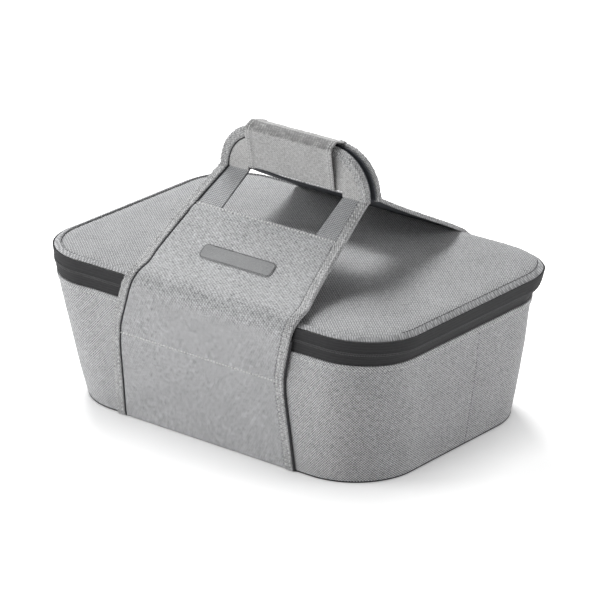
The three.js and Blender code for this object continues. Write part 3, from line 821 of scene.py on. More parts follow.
def side_seam(z):
    """The place of the slanted seam on the +X side."""
    y = lerp(SEAM_FOOT, SEAM_TOP, z / RIM_HEIGHT)
    width, corner = size_at(z)[1:]
    return lerp(KNOTS[2], KNOTS[3], (y / (width - corner) + 1) / 2)


def bulge(s, z, height):
    """The padded sides and corners swell a little; the flat front and rear stay flat."""
    folded = np.minimum(np.abs(s), 2 * HALF_ROUND - np.abs(s))
    side = smooth((folded - KNOTS[1]) / BULGE_RUN) * smooth((KNOTS[4] - folded) / BULGE_RUN)
    return side * WALL_BULGE * np.sin(math.pi * np.clip(z / height, 0, 1))


def round_places(step):
    """Even places round the tub, and the same with the start once more at the end."""
    count = int(2 * HALF_ROUND / step)
    s = np.arange(count) * 2 * HALF_ROUND / count
    return s, np.concatenate([s, [2 * HALF_ROUND]])


def ring_piece(name, section, look, step=FINE, gather=NO_GATHER, level=False):
    """A closed band round the tub: its section is a loop of (inset, height). level gives it the
    weave of the flat cloth beside it."""
    s, ends = round_places(step)
    waves = pucker(s[:, None], *gather)
    points = wall(s[:, None], section[None, :, 1] + waves * 0.5, section[None, :, 0] - waves)
    uv = grid(ends[:, None], loop_lengths(section)[None])
    if level:
        around = np.pad(points, ((0, 1), (0, 1), (0, 0)), mode="wrap")
        uv = around[..., :2] * (1 + (around[..., 2:] - RIM_HEIGHT) / RIM_SIZE[0])
    return surface(name, points, uv, look, wrap=(True, True), flip=True)


def part_ring(name, section, s0, s1, look, step=FINE):
    """The same over part of the outline, with capped ends."""
    s = np.linspace(s0, s1, int(abs(s1 - s0) / step))[:, None]
    points = wall(s, section[None, :, 1], section[None, :, 0])
    uv = grid(s, loop_lengths(section)[None])
    return surface(name, points, uv, look, wrap=(False, True), flip=True, caps=True)


def wall_sheet(name, s0, s1, z0, z1, inset, look, thick, step=MEDIUM, edge=0.0, lift=None):
    """A sheet on the wall between two places, which may change with height, and two heights."""
    z = (z0 + stops(z1 - z0, step, edge))[:, None]
    first = s0(z) if callable(s0) else s0
    last = s1(z) if callable(s1) else s1
    across = float(np.mean(last - first))
    share = (stops(across, step, edge) / across)[None, :]
    s = lerp(first, last, share)
    depth = inset + rolled(np.minimum(s - first, last - s), edge) if edge else inset
    depth = depth - (lift(s, z) if lift else 0)
    points = wall(s, z, depth)
    uv = wall_uv(s, z + 0 * s)
    return surface(name, points, uv, look, thick=thick), uv


def filled(outline_z, inset, step, edge=0.0):
    """A grid that fills the outline at a height: x, y and the distance from the edge."""
    length, width, corner = (float(v) for v in size_at(outline_z))
    length, width, corner = length - inset, width - inset, corner - inset
    y = (stops(2 * width, step, edge) - width)[:, None]
    over = np.clip(np.abs(y) - (width - corner), 0, corner)
    half = length - corner + np.sqrt(corner ** 2 - over ** 2)
    share = (stops(2 * length, step, edge) / length - 1)[None, :]
    x = half * share
    qx, qy = np.abs(x) - (length - corner), np.abs(y) + 0 * x - (width - corner)
    outside = np.hypot(np.maximum(qx, 0), np.maximum(qy, 0))
    distance = corner - outside - np.minimum(np.maximum(qx, qy), 0)
    return x, y + 0 * x, distance


def plate(name, top, bottom, outline_z, inset, look, step=COARSE, edge=0.0008):
    """A flat layer with softened edges."""
    x, y, distance = filled(outline_z, inset, step, edge)
    z = top - rolled(distance, edge)
    uv = grid(x, y)
    return surface(name, grid(x, y, z), uv, look, thick=top - bottom - edge), uv


# Strap line and points on the straps

def bezier(a, angle_a, b, angle_b, count, pull=1 / 3):
    reach = math.dist(a, b) * pull
    t = np.linspace(0, 1, count)[:, None]
    a, b = np.array(a), np.array(b)
    near = a + reach * np.array([-math.cos(angle_a), math.sin(angle_a)])
    far = b - reach * np.array([-math.cos(angle_b), math.sin(angle_b)])
    return ((1 - t) ** 3 * a + 3 * t * (1 - t) ** 2 * near
            + 3 * t * t * (1 - t) * far + t ** 3 * b)


def strap_line(turn_end, turn_angle, steps=12):
    """Points of the inner face of a strap, [distance out, height], and its landmarks."""
    foot, row = (np.array([float(size_at(z)[1]) + STRAP_SEAT, z]) for z in (STRAP_FOOT, ROW_HEIGHT))
    turn = bezier(TURN_START, START_ANGLE, turn_end, turn_angle, 25, TURN_PULL)
    slope = bezier(turn_end, turn_angle, BEND, BEND_ANGLE, 61)
    low = [lerp(foot, row, k / steps) for k in range(steps)]
    mid = [lerp(row, np.array(TURN_START), k / steps) for k in range(steps)]
    centre = np.array(BEND) + BEND_RADIUS * np.array([math.sin(BEND_ANGLE), math.cos(BEND_ANGLE)])
    arc = []
    for k in range(1, 9):
        angle = lerp(BEND_ANGLE, math.pi / 2, k / 8)
        arc.append(centre - BEND_RADIUS * np.array([math.sin(angle), math.cos(angle)]))
    tail = [arc[-1] + np.array([0, TAIL])]
    points = np.concatenate([low, mid, turn, slope[1:], arc, tail])
    lengths = lengths_of(points)
    bend = len(low) + len(mid) + len(turn) + len(slope) - 2
    marks = {"row": lengths[steps], "turn": TURN_MARK, "bend": lengths[bend], "end": lengths[-1]}
    return points, lengths, marks


def outward(points, lengths):
    """Directions away from the lid along a strap line."""
    slope = np.gradient(points, lengths, axis=0)
    across = np.stack([slope[:, 1], -slope[:, 0]], 1)
    return across / np.linalg.norm(across, axis=1, keepdims=True)


# The front strap sags over the lid; the rear one is pulled straight to the rim
FRONT_LINE, LENGTHS, MARKS = strap_line(TURN_END, TURN_ANGLE)
REAR_LINE = strap_line(REAR_TURN_END, REAR_TURN_ANGLE)[0]
LINES = {side: (line, outward(line, LENGTHS)) for side, line in ((-1, FRONT_LINE), (1, REAR_LINE))}
WINDOW = MARKS["bend"] - WINDOW_LENGTH


def slope_share(along):
    return np.clip((along - MARKS["turn"]) / (MARKS["bend"] - MARKS["turn"]), 0, 1)


def softened_turns(sharp, along):
    """Values along a strap with their sharp turns rounded off."""
    around = EDGE_ROUND * np.linspace(-1, 1, 9)
    weights = 1 - np.abs(np.linspace(-0.9, 0.9, 9))
    return sum(w * sharp(along + d) for w, d in zip(weights, around)) / weights.sum()


def eased(along, low, high, ease):
    """Values at the foot, the row and the turn of a strap, then an eased run to its bend."""
    def sharp(a):
        below = np.interp(a, [0, MARKS["row"], MARKS["turn"]], low)
        return np.where(a < MARKS["turn"], below, high + (low[2] - high) * ease(slope_share(a)))
    return softened_turns(sharp, along)


def skew_at(along):
    """How far a strap runs off to one side: out to the rim and back above it, with soft turns."""
    return eased(along, (FOOT_SKEW, ROW_SKEW, TURN_SKEW), BEND_SKEW, lambda t: (1 - t) ** SKEW_EASE)


def middle_at(side, along):
    """x of a strap's middle. The rear strap is skewed the other way."""
    return STRAP_SHIFT * np.clip(along / MARKS["turn"], 0, 1) - side * skew_at(along)


def handle_middle(side):
    return STRAP_SHIFT - side * BEND_SKEW


def window_edge(side, side_x):
    """x of the window's edge on the -X or +X side."""
    return handle_middle(side) - side * WINDOW_SHIFT + side_x * WINDOW_HALF


def half_at(along):
    """Half the width of a strap."""
    return eased(along, (FOOT_HALF, ROW_HALF, TURN_HALF), BEND_HALF, lambda t: 1 - t ** HALF_EASE)


def edge_at(side, along, side_x, inset=0.0):
    """x of a strap's edge on the -X or +X side, moved in by an inset."""
    return middle_at(side, along) + side_x * (half_at(along) - inset)


def strap(side, along, x, offset):
    """Points on a strap, offset out from its inner face. side is -1 in front and 1 at the rear."""
    along, x, offset = np.broadcast_arrays(along, x, offset)
    line, across = LINES[side]
    out = np.interp(along, LENGTHS, line[:, 0]) + offset * np.interp(along, LENGTHS, across[:, 0])
    z = np.interp(along, LENGTHS, line[:, 1]) + offset * np.interp(along, LENGTHS, across[:, 1])
    return np.stack([x, side * (out - tuck(z)), z], -1)


def strap_up(side, along):
    """The outward direction of a strap."""
    along = np.atleast_1d(along)
    across = LINES[side][1]
    out = np.interp(along, LENGTHS, across[:, 0])
    z = np.interp(along, LENGTHS, across[:, 1])
    return np.stack([0 * out, side * out, z], -1)


def layer(along, low, high):
    """A layer's height off the inner face: low where sewn to the wall, high where free."""
    return lerp(low, high, smooth((along - MARKS["row"]) / ROW_BLEND + 0.25))


def row_dimple(along):
    """Cloth pressed down along the row of stitches and along the folded top of the panel."""
    spots = ((MARKS["row"], *ROW_DIMPLE), (WINDOW - TOP_ROW, *TOP_DIMPLE),
             (WINDOW - TOP_PUFF, *TOP_SWELL))
    return sum(depth * np.exp(-((along - spot) / width) ** 2) for spot, depth, width in spots)


def strap_sheet(name, side, span, x0, x1, offset, look, thick, edge=SHEET_EDGE,
                step=MEDIUM):
    """A sheet on a strap between two edges, which may change along it."""
    along = (span[0] + stops(span[1] - span[0], step, edge))[:, None]
    first, last = x0(along), x1(along)
    wide = float(np.mean(last - first))
    share = (stops(wide, step, edge) / wide)[None, :]
    x = lerp(first, last, share)
    drop = rolled(np.minimum(x - first, last - x), edge)
    drop = drop + rolled(np.minimum(along - span[0], span[1] - along), edge)
    points = strap(side, along, x, offset(along, x) - drop)
    uv = grid(x, along)
    return surface(name, points, uv, look, thick=thick, flip=side > 0), uv


def gathered(along, side_x, count, power):
    """The squared section of a folded binding that its two rows of stitches gather: across and
    height from -1 to 1, the folds, and the lift of the outer face."""
    turns = np.linspace(0, math.tau, count + 1)[:-1][None, :]
    across, height = (np.sign(v) * np.abs(v) ** power for v in (np.cos(turns), np.sin(turns)))
    across = np.where(height < 0, np.maximum(across, 1 - 2 * BACK_EDGE / EDGE), across)
    slanted = along + side_x * across * EDGE * EDGE_SLANT
    folds = sum(pucker(slanted, period, EDGE_FOLD * share) for period, share in EDGE_FOLDS)
    rows = sum(np.exp(-((across * EDGE / 2 - spot) / EDGE_ROW_WIDTH) ** 2)
               for spot in EDGE_ROW_SPOTS)
    return across, height, folds, folds + EDGE_ROW_DEPTH * (1 - across ** 2 - rows)


def gathered_uv(across, height, half, along):
    loop = np.stack([across[0] * EDGE / 2, height[0] * half], 1)
    return grid(loop_lengths(loop)[None], along)


def cord(name, along, girth, line, flip):
    """A round cord of very dark cloth, painted shade of a gap: line gives its points at places along
    and at (across, up) from its middle.
    """
    turns = np.linspace(0, math.tau, CORD_SIDES + 1)[:-1][None, :]
    points = line(along, girth * np.cos(turns), girth * np.sin(turns))
    uv = grid(np.linspace(0, math.tau * girth, CORD_SIDES + 1)[None, :], along)
    return surface(name, points, uv, SHADE_CORD, wrap=(False, True), flip=flip, caps=True)


def strap_edge(name, side, span, side_x, look):
    """A folded binding along a strap's edge, gathered by its stitches."""
    along = (span[0] + stops(span[1] - span[0], FINE * 0.6))[:, None]
    outer = edge_at(side, along, side_x)
    inner = edge_at(side, along, side_x, EDGE)
    radius = layer(along, LOW_EDGE, HIGH_EDGE) / 2
    across, height, folds, lift = gathered(along, side_x, 36, 0.32)
    lift = np.where(height > 0, lift - 0.4 * row_dimple(along), 0)
    x = (outer + inner) / 2 + (outer - inner) / 2 * across + side_x * folds * 0.6 * (across > 0)
    points = strap(side, along, x, radius + radius * height + lift)
    uv = gathered_uv(across, height, HIGH_EDGE / 2, along)
    flip = (side > 0) == (side_x > 0)
    return surface(name, points, uv, look, wrap=(False, True), flip=not flip, caps=True)


def strap_shade_cord(name, side, span, side_x, inset, girth, height):
    """A thin, very dark cord beside a binding: painted shade of the gap between the binding and the
    panel or the wall.
    """
    def line(along, across, up):
        return strap(side, along, edge_at(side, along, side_x, inset) + across, height(along) + up)
    along = np.linspace(*span, int((span[1] - span[0]) / MEDIUM))[:, None]
    return cord(name, along, girth, line, side < 0)


FRONT = {"side": -1, "name": "front", "body": "front_strap", "handle": "front_handle"}
REAR = {"side": 1, "name": "rear", "body": "rear_strap", "handle": "rear_handle"}


def bend_low(piece, end):
    """Bakes the piece's place into its mesh; nothing bends it at the row of stitches."""
    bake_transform(piece)


def bend_high(piece, end):
    """Bakes the piece's place into its mesh; nothing bends it to follow the strap or the handle."""
    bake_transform(piece)


# The parts of the tub

def build_base():
    section = rounded(0, PIPING_WIDTH, PIPING_FOOT, PIPING_TOP - FOOT_OVERLAP, SHEET_EDGE)
    put(ring_piece("base_edge_piping", section, ZIP_TAPE, step=MEDIUM), "root", "base_piping")
    cover, uv = plate("base_cover", FABRIC, 0, 0, PIPING_WIDTH + GAP, CLOTH)
    declare_sheet(put(cover, "root", "base_fabric"), uv)
    for name, node, look in (("base_stiffener", "base_board", BOARD_LOOK),
                             ("base_padding", "base_foam", FOAM_LOOK)):
        low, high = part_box(node)
        piece, _ = plate(name, high.z, low.z, low.z, LINING_INSET, look)
        put(piece, "root", node)


def build_walls():
    foot, top = PIPING_TOP - FOOT_OVERLAP, BAND_FOOT - GAP

    def lift(s, z):
        return bulge(s, z, top) - tuck(z) + wobble(s, z, WALL_UNEVEN) * smooth(z / FOOT_CALM)
    for end, s0, s1 in (("front", lambda z: -side_seam(z), side_seam),
                        ("rear", side_seam, lambda z: 2 * HALF_ROUND - side_seam(z))):
        cover, _ = wall_sheet(f"{end}_wall_cover", s0, s1, foot, top, 0, CLOTH, FABRIC,
                              edge=WALL_EDGE, lift=lift)
        put(cover, "root", f"{end}_wall_fabric")

    s, ends = round_places(FINE)
    hem_foot = top - HEM_HEIGHT
    z = (hem_foot + stops(HEM_HEIGHT, FINE * 0.7, HEM_EDGE))[:, None]
    proud = HEM_THICK - rolled(np.minimum(z - hem_foot, top - z), HEM_EDGE)
    points = wall(s[None], z, -(proud + pucker(s[None], *HEM_GATHER)))
    put(surface("rim_hem", points, grid(ends[None], z), CLOTH, wrap=(False, True),
                thick=HEM_THICK), "root")

    def outwards(s, z):
        return wall(s, z, -0.001) - wall(s, z, 0)
    z = np.linspace(foot + 0.004, hem_foot - 0.002, 60)
    rows = []
    for sign in (-1, 1):
        s = sign * (side_seam(z) - SIDE_SEAM_INSET)
        rows.append((wall(s, z, 0.0001), outwards(s, z)))
    put(stitches("side_seam_stitches", rows, GREY_THREAD), "root")
    s = np.linspace(0, 2 * HALF_ROUND, 900)
    row = (wall(s, hem_foot + 0.0011, -HEM_THICK), outwards(s, 0 * s))
    put(stitches("hem_stitches", [row], HEM_THREAD, pitch=0.0049, length=0.0033), "root")


def build_padding():
    """Foam sheets inside the walls, with softened edges."""
    foot, top = PIPING_TOP + GAP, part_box("front_wall_foam")[1].z
    clear = KNOTS[1] * 0.01
    spans = (("front_wall", clear - KNOTS[1], KNOTS[1] - clear),
             ("rear_wall", KNOTS[4] + clear, 2 * HALF_ROUND - KNOTS[4] - clear),
             ("right_end", KNOTS[1] + clear, KNOTS[4] - clear),
             ("left_end", clear - KNOTS[4], -KNOTS[1] - clear))
    for name, s0, s1 in spans:
        pad, _ = wall_sheet(f"{name}_padding", s0, s1, foot, top, FOAM_INSET, FOAM_LOOK, FOAM,
                            step=COARSE, edge=0.001)
        put(pad, "root", f"{name}_foam")


def build_inside(curve=LINING_CURVE):
    """The slate lining of the tub: a floor, walls that curve into it, and the rim binding."""
    turns = np.linspace(0, math.pi / 2, 7)
    low_inset = INNER_INSET + curve * (1 - np.sin(turns))
    low_z = FLOOR + LINING + curve * (1 - np.cos(turns))
    high_z = np.linspace(low_z[-1], LINING_TOP, 24)[1:]
    inset = np.concatenate([low_inset, 0 * high_z + INNER_INSET])[:, None]
    z = np.concatenate([low_z, high_z])[:, None]
    s, ends = round_places(COARSE)
    points = wall(s[None], z, inset - wobble(s[None], z, LINING_UNEVEN))
    down = lengths_of(np.concatenate([inset, z], 1))
    uv = grid(ends[None], down[:, None])
    walls = surface("tub_lining_walls", points, uv, SLATE, wrap=(False, True),
                    thick=-LINING * 0.8)
    declare_sheet(put(walls, "root", "inner_lining"), uv)
    floor, uv = plate("tub_lining_floor", FLOOR + LINING, FLOOR, FLOOR,
                      INNER_INSET + curve * 0.8, SLATE, edge=0.0004)
    declare_sheet(put(floor, "root"), uv)
    low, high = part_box("rim_binding")
    section = rounded(FOAM_INSET, INNER_INSET + 0.0006, low.z, high.z, BINDING_EDGE)
    binding = ring_piece("rim_edge_binding", section, ZIP_TAPE, step=MEDIUM, gather=BINDING_GATHER)
    put(binding, "root", "rim_binding")


# Zip

def tooth_template(height, depth, wide):
    """One rounded tooth of a coil: a squared loop of thread."""
    loop = rounded(-wide / 2, wide / 2, -height / 2, height / 2, wide * 0.35, 2)
    verts = [(a * share, b * share, level) for level, share in ((0, 1), (depth * 0.7, 1),
                                                                (depth, 0.55)) for a, b in loop]
    return np.array(verts), tube_faces(3, len(loop))


def band_bulge(z):
    """The zip band stands off the rim a little, most at its upper edge."""
    share = np.clip((z - BAND_FOOT) / (RIM_HEIGHT - BAND_FOOT), 0, 1)
    return BAND_BULGE * np.sin(math.pi / 2 * share ** 0.7)


def build_coil(name, node, body, shift, pitch=COIL_PITCH):
    low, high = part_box(node)
    height = high.z - low.z + COIL_APART
    reach = rear_place(HINGE_HALF + COIL_PAST_HINGE)
    s = np.arange(-reach, reach, pitch) + shift * pitch
    z = 0 * s + (low.z + high.z) / 2 + (COIL_APART if body == "root" else -COIL_APART)
    place = wall(s, z, 0.001 - band_bulge(ZIP_LINE))
    ahead = wall(s + pitch / 4, z, 0) - wall(s - pitch / 4, z, 0)
    out = wall(s, z, -0.001) - wall(s, z, 0)
    tooth = tooth_template(height * 0.94, COIL_DEPTH, pitch * 0.66)
    put(instances(name, tooth, place, ahead, out, COIL_LOOK), body, node)
    core = rounded(0.0001, 0.0007, low.z + height * 0.1, high.z - height * 0.1, 0.00025, 2)
    core[:, 0] -= band_bulge(ZIP_LINE)
    put(part_ring(name + "_core", core, -reach, reach, ZIP_TAPE), body)


def softened(name, node, body, width):
    """A hard metal piece of the CAD with its edges rounded off."""
    piece = placed(name, frame["nodes"][node].data.copy())
    weld = piece.modifiers.new("weld", "WELD")
    weld.merge_threshold = 0.00001
    bevel = piece.modifiers.new("round", "BEVEL")
    bevel.width = width
    bevel.segments = 3
    bevel.limit_method = "ANGLE"
    bevel.angle_limit = math.radians(30)
    graph = bpy.context.evaluated_depsgraph_get()
    made = bpy.data.meshes.new_from_object(piece.evaluated_get(graph))
    piece.modifiers.clear()
    piece.data = made
    made.materials.clear()
    made.materials.append(METAL[0])
    made.shade_smooth()
    made.set_sharp_from_angle(angle=SHARP)
    put(piece, body, node)


def build_zip():
    reach = rear_place(HINGE_HALF)

    def lift(s, z):
        return band_bulge(z) + wobble(s, z, TAPE_UNEVEN)
    for word, body, foot, top, rests_on in (
            ("lower", "root", BAND_FOOT, LOWER_TAPE_TOP, "rim_edge_binding"),
            ("upper", "lid", UPPER_TAPE_FOOT, UPPER_TAPE_TOP, "lid_padding")):
        tape, uv = wall_sheet(f"zip_tape_{word}", -reach, reach, foot, top, TAPE_INSET,
                              ZIP_TAPE, TAPE, step=FINE, lift=lift)
        declare_sheet(put(tape, body, f"{word}_zip_tape"), uv)
    for word, body, shift in (("lower", "root", 0.0), ("upper", "lid", 0.5)):
        build_coil(f"zip_coil_{word}", f"{word}_zip_coil", body, shift)
    for side in ("left", "right"):
        softened(f"zip_end_{side}", f"zip_stop_{side}", "root", 0.0003)

    half = rear_place(HINGE_HALF - GAP)
    hinge, uv = wall_sheet("hinge_cover", half, 2 * HALF_ROUND - half, BAND_FOOT, UPPER_TAPE_TOP,
                           TAPE_INSET, CLOTH, TAPE, step=FINE)
    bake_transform(hinge)
    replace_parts(hinge, "hinge_gusset", "lid_hinge_strip")
    declare_sheet(hinge, uv)


def build_lid():
    x, y, distance = filled(RIM_HEIGHT, BORDER_WIDTH + GAP * 0.5, MEDIUM, 0.0016)
    share = np.clip(1 - distance / (RIM_SIZE[1] - BORDER_WIDTH), 0, 1)
    rise = CROWN * (1 - share ** 2.2) + LID_PUFF * smooth(distance / LID_PUFF_RUN)
    gathers = pucker(np.arctan2(y, x) * 0.19, *LID_GATHER) * np.exp(-distance / LID_GATHER_RUN)
    drop = LID_PUFF * 0.4 * np.exp(-distance / LID_EDGE_RUN)
    uneven = wobble(x, y, LID_UNEVEN) * smooth(distance / LID_CALM)
    z = RIM_HEIGHT + FABRIC + rise - drop + gathers + uneven
    uv = grid(x, y)
    top = surface("lid_cover", grid(x, y, z), uv, LID_CLOTH, thick=FABRIC * 0.9)
    put(top, "lid", "lid_fabric")
    pad = surface("lid_padding", grid(x, y, z - FABRIC * 1.1), uv, FOAM_LOOK,
                  thick=LID_FOAM_THICK)
    put(pad, "lid", "lid_foam")

    shares = np.array(BORDER_SHARES)
    section = grid(BORDER_WIDTH * shares[:, 0], RIM_HEIGHT + BORDER_HEIGHT * shares[:, 1])
    border = ring_piece("lid_edge_strip", section, LID_CLOTH, gather=BORDER_GATHER, level=True)
    put(border, "lid", "lid_border")
    rows = []
    for start, end in ((KNOTS[2] - 0.02, KNOTS[3] + 0.05), (-KNOTS[5], -SEAM_START)):
        s = np.linspace(start, end, 500)
        line = wall(s, RIM_HEIGHT, BORDER_WIDTH - 0.0002)
        line[:, 2] = RIM_HEIGHT + BORDER_HEIGHT * 0.74
        rows.append((line, grid(0 * s, 0, 1)))
    put(stitches("lid_seam_stitches", rows, DARK_THREAD, pitch=0.0038, length=0.0032), "lid")

    low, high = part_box("lid_lining")
    inset = TAPE_INSET + TAPE + GAP
    under, uv = plate("lid_lining_cover", low.z, high.z, low.z, inset, SLATE, edge=THIN_EDGE)
    declare_sheet(put(under, "lid", "lid_lining"), uv)
    low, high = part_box("lid_binding")
    section = rounded(inset, inset + LID_BINDING_WIDTH, low.z, high.z, BINDING_EDGE)
    binding = ring_piece("lid_edge_binding", section, ZIP_TAPE, step=MEDIUM, gather=BINDING_GATHER)
    put(binding, "lid", "lid_binding")


# Straps

def panel_offset(along, x):
    return layer(along, LOW_FACE, HIGH_FACE) - row_dimple(along) + wobble(x, along, PANEL_UNEVEN)


def face(extra=0.0):
    return lambda along: layer(along, LOW_FACE, HIGH_FACE) + extra


def leg_offset(along, x):
    return HIGH_FACE - LEG_SUNK + wobble(x, along, LEG_UNEVEN)


def build_strap(end):
    side, name = end["side"], end["name"]
    low, high = [0, WINDOW], [WINDOW - LEG_LAP, MARKS["end"]]
    upper = [WINDOW, MARKS["end"]]

    def sheet(word, span, x0, x1, offset, look, thick, bend, rests_on, *nodes, **more):
        piece, uv = strap_sheet(f"{name}_{word}", side, span, x0, x1, offset, look, thick, **more)
        bend(piece, end)
        if nodes:
            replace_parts(piece, *nodes)
        declare_sheet(piece, uv)

    def inner(side_x, inset=None):
        groove = GROOVE if side * side_x > 0 else GROOVE * 0.4
        inset = EDGE + groove if inset is None else inset
        return lambda along: edge_at(side, along, side_x, inset)

    def window(side_x):
        return lambda along: window_edge(side, side_x) + 0 * along

    def leg_lines(side_x, *inset):
        lines = (inner(side_x, *inset), window(side_x))
        return lines if side_x < 0 else lines[::-1]
    sheet("strap_panel", low, inner(-1), inner(1), panel_offset, STRAP_CLOTH, FABRIC * 0.9,
          bend_low, "wall_cover", f"{name}_strap_lower", f"{name}_strap_fabric")
    for side_x, word in ((-1, "left"), (1, "right")):
        low_edge = strap_edge(f"{name}_strap_edge_{word}", side, low, side_x, BINDING)
        bend_low(low_edge, end)
        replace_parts(low_edge, f"{name}_strap_lower_binding_{word}", f"{name}_strap_binding_{word}")
        bend_high(strap_edge(f"{name}_leg_edge_{word}", side, upper, side_x, BINDING), end)

        # Very dark cords beside the bindings, painted shade: in the groove inside the binding on one
        # side, in the gap against the wall on the other
        if side * side_x > 0:
            inset = EDGE + INNER_SHADE_CORD
            for part, span, bend in (("strap", low, bend_low), ("leg", upper, bend_high)):
                bend(strap_shade_cord(f"{name}_{part}_welt", side, span, side_x, inset, INNER_SHADE_CORD,
                                face()), end)
        else:
            bend_low(strap_shade_cord(f"{name}_outer_welt", side, [0, MARKS["row"] + OUTER_SHADE_CORD_RUN], side_x,
                                -OUTER_SHADE_CORD * 0.6, OUTER_SHADE_CORD,
                                lambda along: OUTER_SHADE_CORD - STRAP_SEAT), end)

        sheet(f"leg_{word}", high, *leg_lines(side_x), leg_offset, LEG_CLOTH, FABRIC * 0.8,
              bend_high, "strap_panel", step=FINE)
        sheet(f"leg_lining_{word}", high, *leg_lines(side_x, GROOVE), lambda along, x: LEG_BACKING,
              SLATE, 0.0011, bend_high, f"leg_{word}", edge=THIN_EDGE, step=FINE)
    sheet("strap_backing", low, inner(-1, GROOVE), inner(1, GROOVE),
          lambda along, x: layer(along, BACKING_LOW, BACKING_HIGH), SLATE, 0.0008, bend_low,
          "strap_panel", f"{name}_strap_lining", edge=THIN_EDGE)

    def cross_row(word, along, extra, girth):
        x = np.linspace(*(float(edge_at(side, along, side_x, 0.002)) for side_x in (-1, 1)), 80)
        height = float(panel_offset(along, 0.0)) + extra
        row = (strap(side, along, x, height), strap_up(side, 0 * x + along))
        return stitches(f"{name}_{word}_row", [row], WHITE_THREAD, BOLD_PITCH, girth, BOLD_STITCH)

    def long_row(span, side_x, inset, height):
        a = np.linspace(*span, 200)
        return strap(side, a, edge_at(side, a, side_x, inset), height(a)), strap_up(side, a)
    bend_low(cross_row("wall", MARKS["row"], 0.0005, BOLD_THREAD), end)
    put(cross_row("window", WINDOW - TOP_ROW, 0.0002, BOLD_THREAD * 0.9), end["body"])
    for span, word, bend in (([0.004, WINDOW], "strap", bend_low),
                             ([WINDOW, MARKS["end"] - 0.002], "leg", bend_high)):
        rows = [long_row(span, side_x, inset, lambda a: layer(a, LOW_EDGE, HIGH_EDGE) + 0.0001)
                for side_x in (-1, 1) for inset in EDGE_ROWS]
        bend(stitches(f"{name}_{word}_edge_stitches", rows, GREY_THREAD, EDGE_PITCH, 0.0007), end)
        rows = [long_row(span, -side, EDGE + 0.0004, face(0.0003))]
        bend(stitches(f"{name}_{word}_seam_stitches", rows, SEAM_THREAD, pitch=0.0036), end)


def build_label():
    """A blank woven label with an overlocked edge."""
    half_wide, half_tall = LABEL_HALF - LABEL_CORNER, LABEL_WIDTH / 2 - LABEL_CORNER
    middle = WINDOW - LABEL_BELOW - LABEL_WIDTH / 2
    along = (stops(LABEL_WIDTH, FINE * 0.6, 0.0004) - LABEL_WIDTH / 2)[:, None]
    over = np.clip(np.abs(along) - half_tall, 0, LABEL_CORNER)
    half = half_wide + np.sqrt(LABEL_CORNER ** 2 - over ** 2)
    share = (stops(2 * LABEL_HALF, FINE, 0.0004) / LABEL_HALF - 1)[None, :]
    along = along + middle
    x = middle_at(-1, along) + half * share
    height = HIGH_FACE + 0.0009
    uv = grid(x, along)
    points = strap(-1, along, x, height + wobble(x, along, PANEL_UNEVEN))
    label = surface("plain_label", points, uv, LABEL_CLOTH, thick=0.0008)
    declare_sheet(put(label, "front_strap", "blank_label"), uv)

    turns = np.linspace(0, math.tau, 241)
    corner = LABEL_CORNER - 0.0009
    x = np.clip(np.cos(turns) * 6, -1, 1) * half_wide + corner * np.cos(turns)
    a = middle + np.clip(np.sin(turns) * 3, -1, 1) * half_tall + corner * np.sin(turns)
    line = strap(-1, a, middle_at(-1, a) + x, height + 0.0001)
    edge = stitches("label_overlock", [(line, strap_up(-1, a))], EDGE_THREAD, pitch=0.0019,
                    girth=0.0004, length=0.0017)
    put(edge, "front_strap")


# Handles

ARCH_LEGS = (HANDLE_TOP - SHOULDER - HANDLE_FOOT, SHOULDER * math.pi / 2,
             2 * (BEND_HALF - SHOULDER), SHOULDER * math.pi / 2,
             HANDLE_TOP - SHOULDER - HANDLE_FOOT)
ARCH = np.concatenate([[0], np.cumsum(ARCH_LEGS)])


def arch(side, s, inset):
    """x and z along the arch of a handle, from its -X foot over the top to its +X foot."""
    angle = np.interp(s, ARCH, [math.pi, math.pi, math.pi / 2, math.pi / 2, 0, 0])
    x = np.interp(s, ARCH, [-1, -1, -1, 1, 1, 1]) * (BEND_HALF - SHOULDER)
    z = HANDLE_TOP - SHOULDER - np.interp(s, ARCH, [1, 0, 0, 0, 0, 1]) * ARCH_LEGS[0]
    radius = SHOULDER - inset
    return handle_middle(side) + x + radius * np.cos(angle), z + radius * np.sin(angle)


def handle_sheet(name, side, face, thick, look, body, inset, swell=0.0):
    """The upright cloth of a handle inside its binding, open below the grip."""
    half, radius, top = BEND_HALF - inset, SHOULDER - inset, HANDLE_TOP - inset
    z = (HANDLE_FOOT + np.concatenate([[0, BAR_FOOT - HANDLE_FOOT],
         np.linspace(BAR_FOOT - HANDLE_FOOT, top - HANDLE_FOOT, 24)[1:]]))[:, None]
    over = np.clip(z - (top - radius), 0, radius)
    wide = half - radius + np.sqrt(radius ** 2 - over ** 2)
    shrink = np.minimum(wide / half, 1)
    left, right = (window_edge(side, sign) - handle_middle(side) for sign in (-1, 1))
    legs = np.linspace(0, 1, 13)
    x = np.concatenate([
        lerp(-wide, left * shrink, legs[None, :]),
        lerp(left, right, np.linspace(0, 1, 40)[1:-1])[None, :] * shrink,
        lerp(right * shrink, wide, legs[None, :]),
    ], 1)
    z = z + 0 * x
    puff = swell * np.cos(math.pi / 2 * np.clip(x / wide, -1, 1)) ** 0.5
    out = face + puff + wobble(x, z, GRIP_UNEVEN)
    keep = np.ones((x.shape[0] - 1, x.shape[1] - 1), bool)
    keep[0, 12:-12] = False
    points = grid(handle_middle(side) + x, side * out, z)
    piece = surface(name, points, grid(x, z), look, thick=thick, keep=keep, flip=side > 0)
    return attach(piece, body)


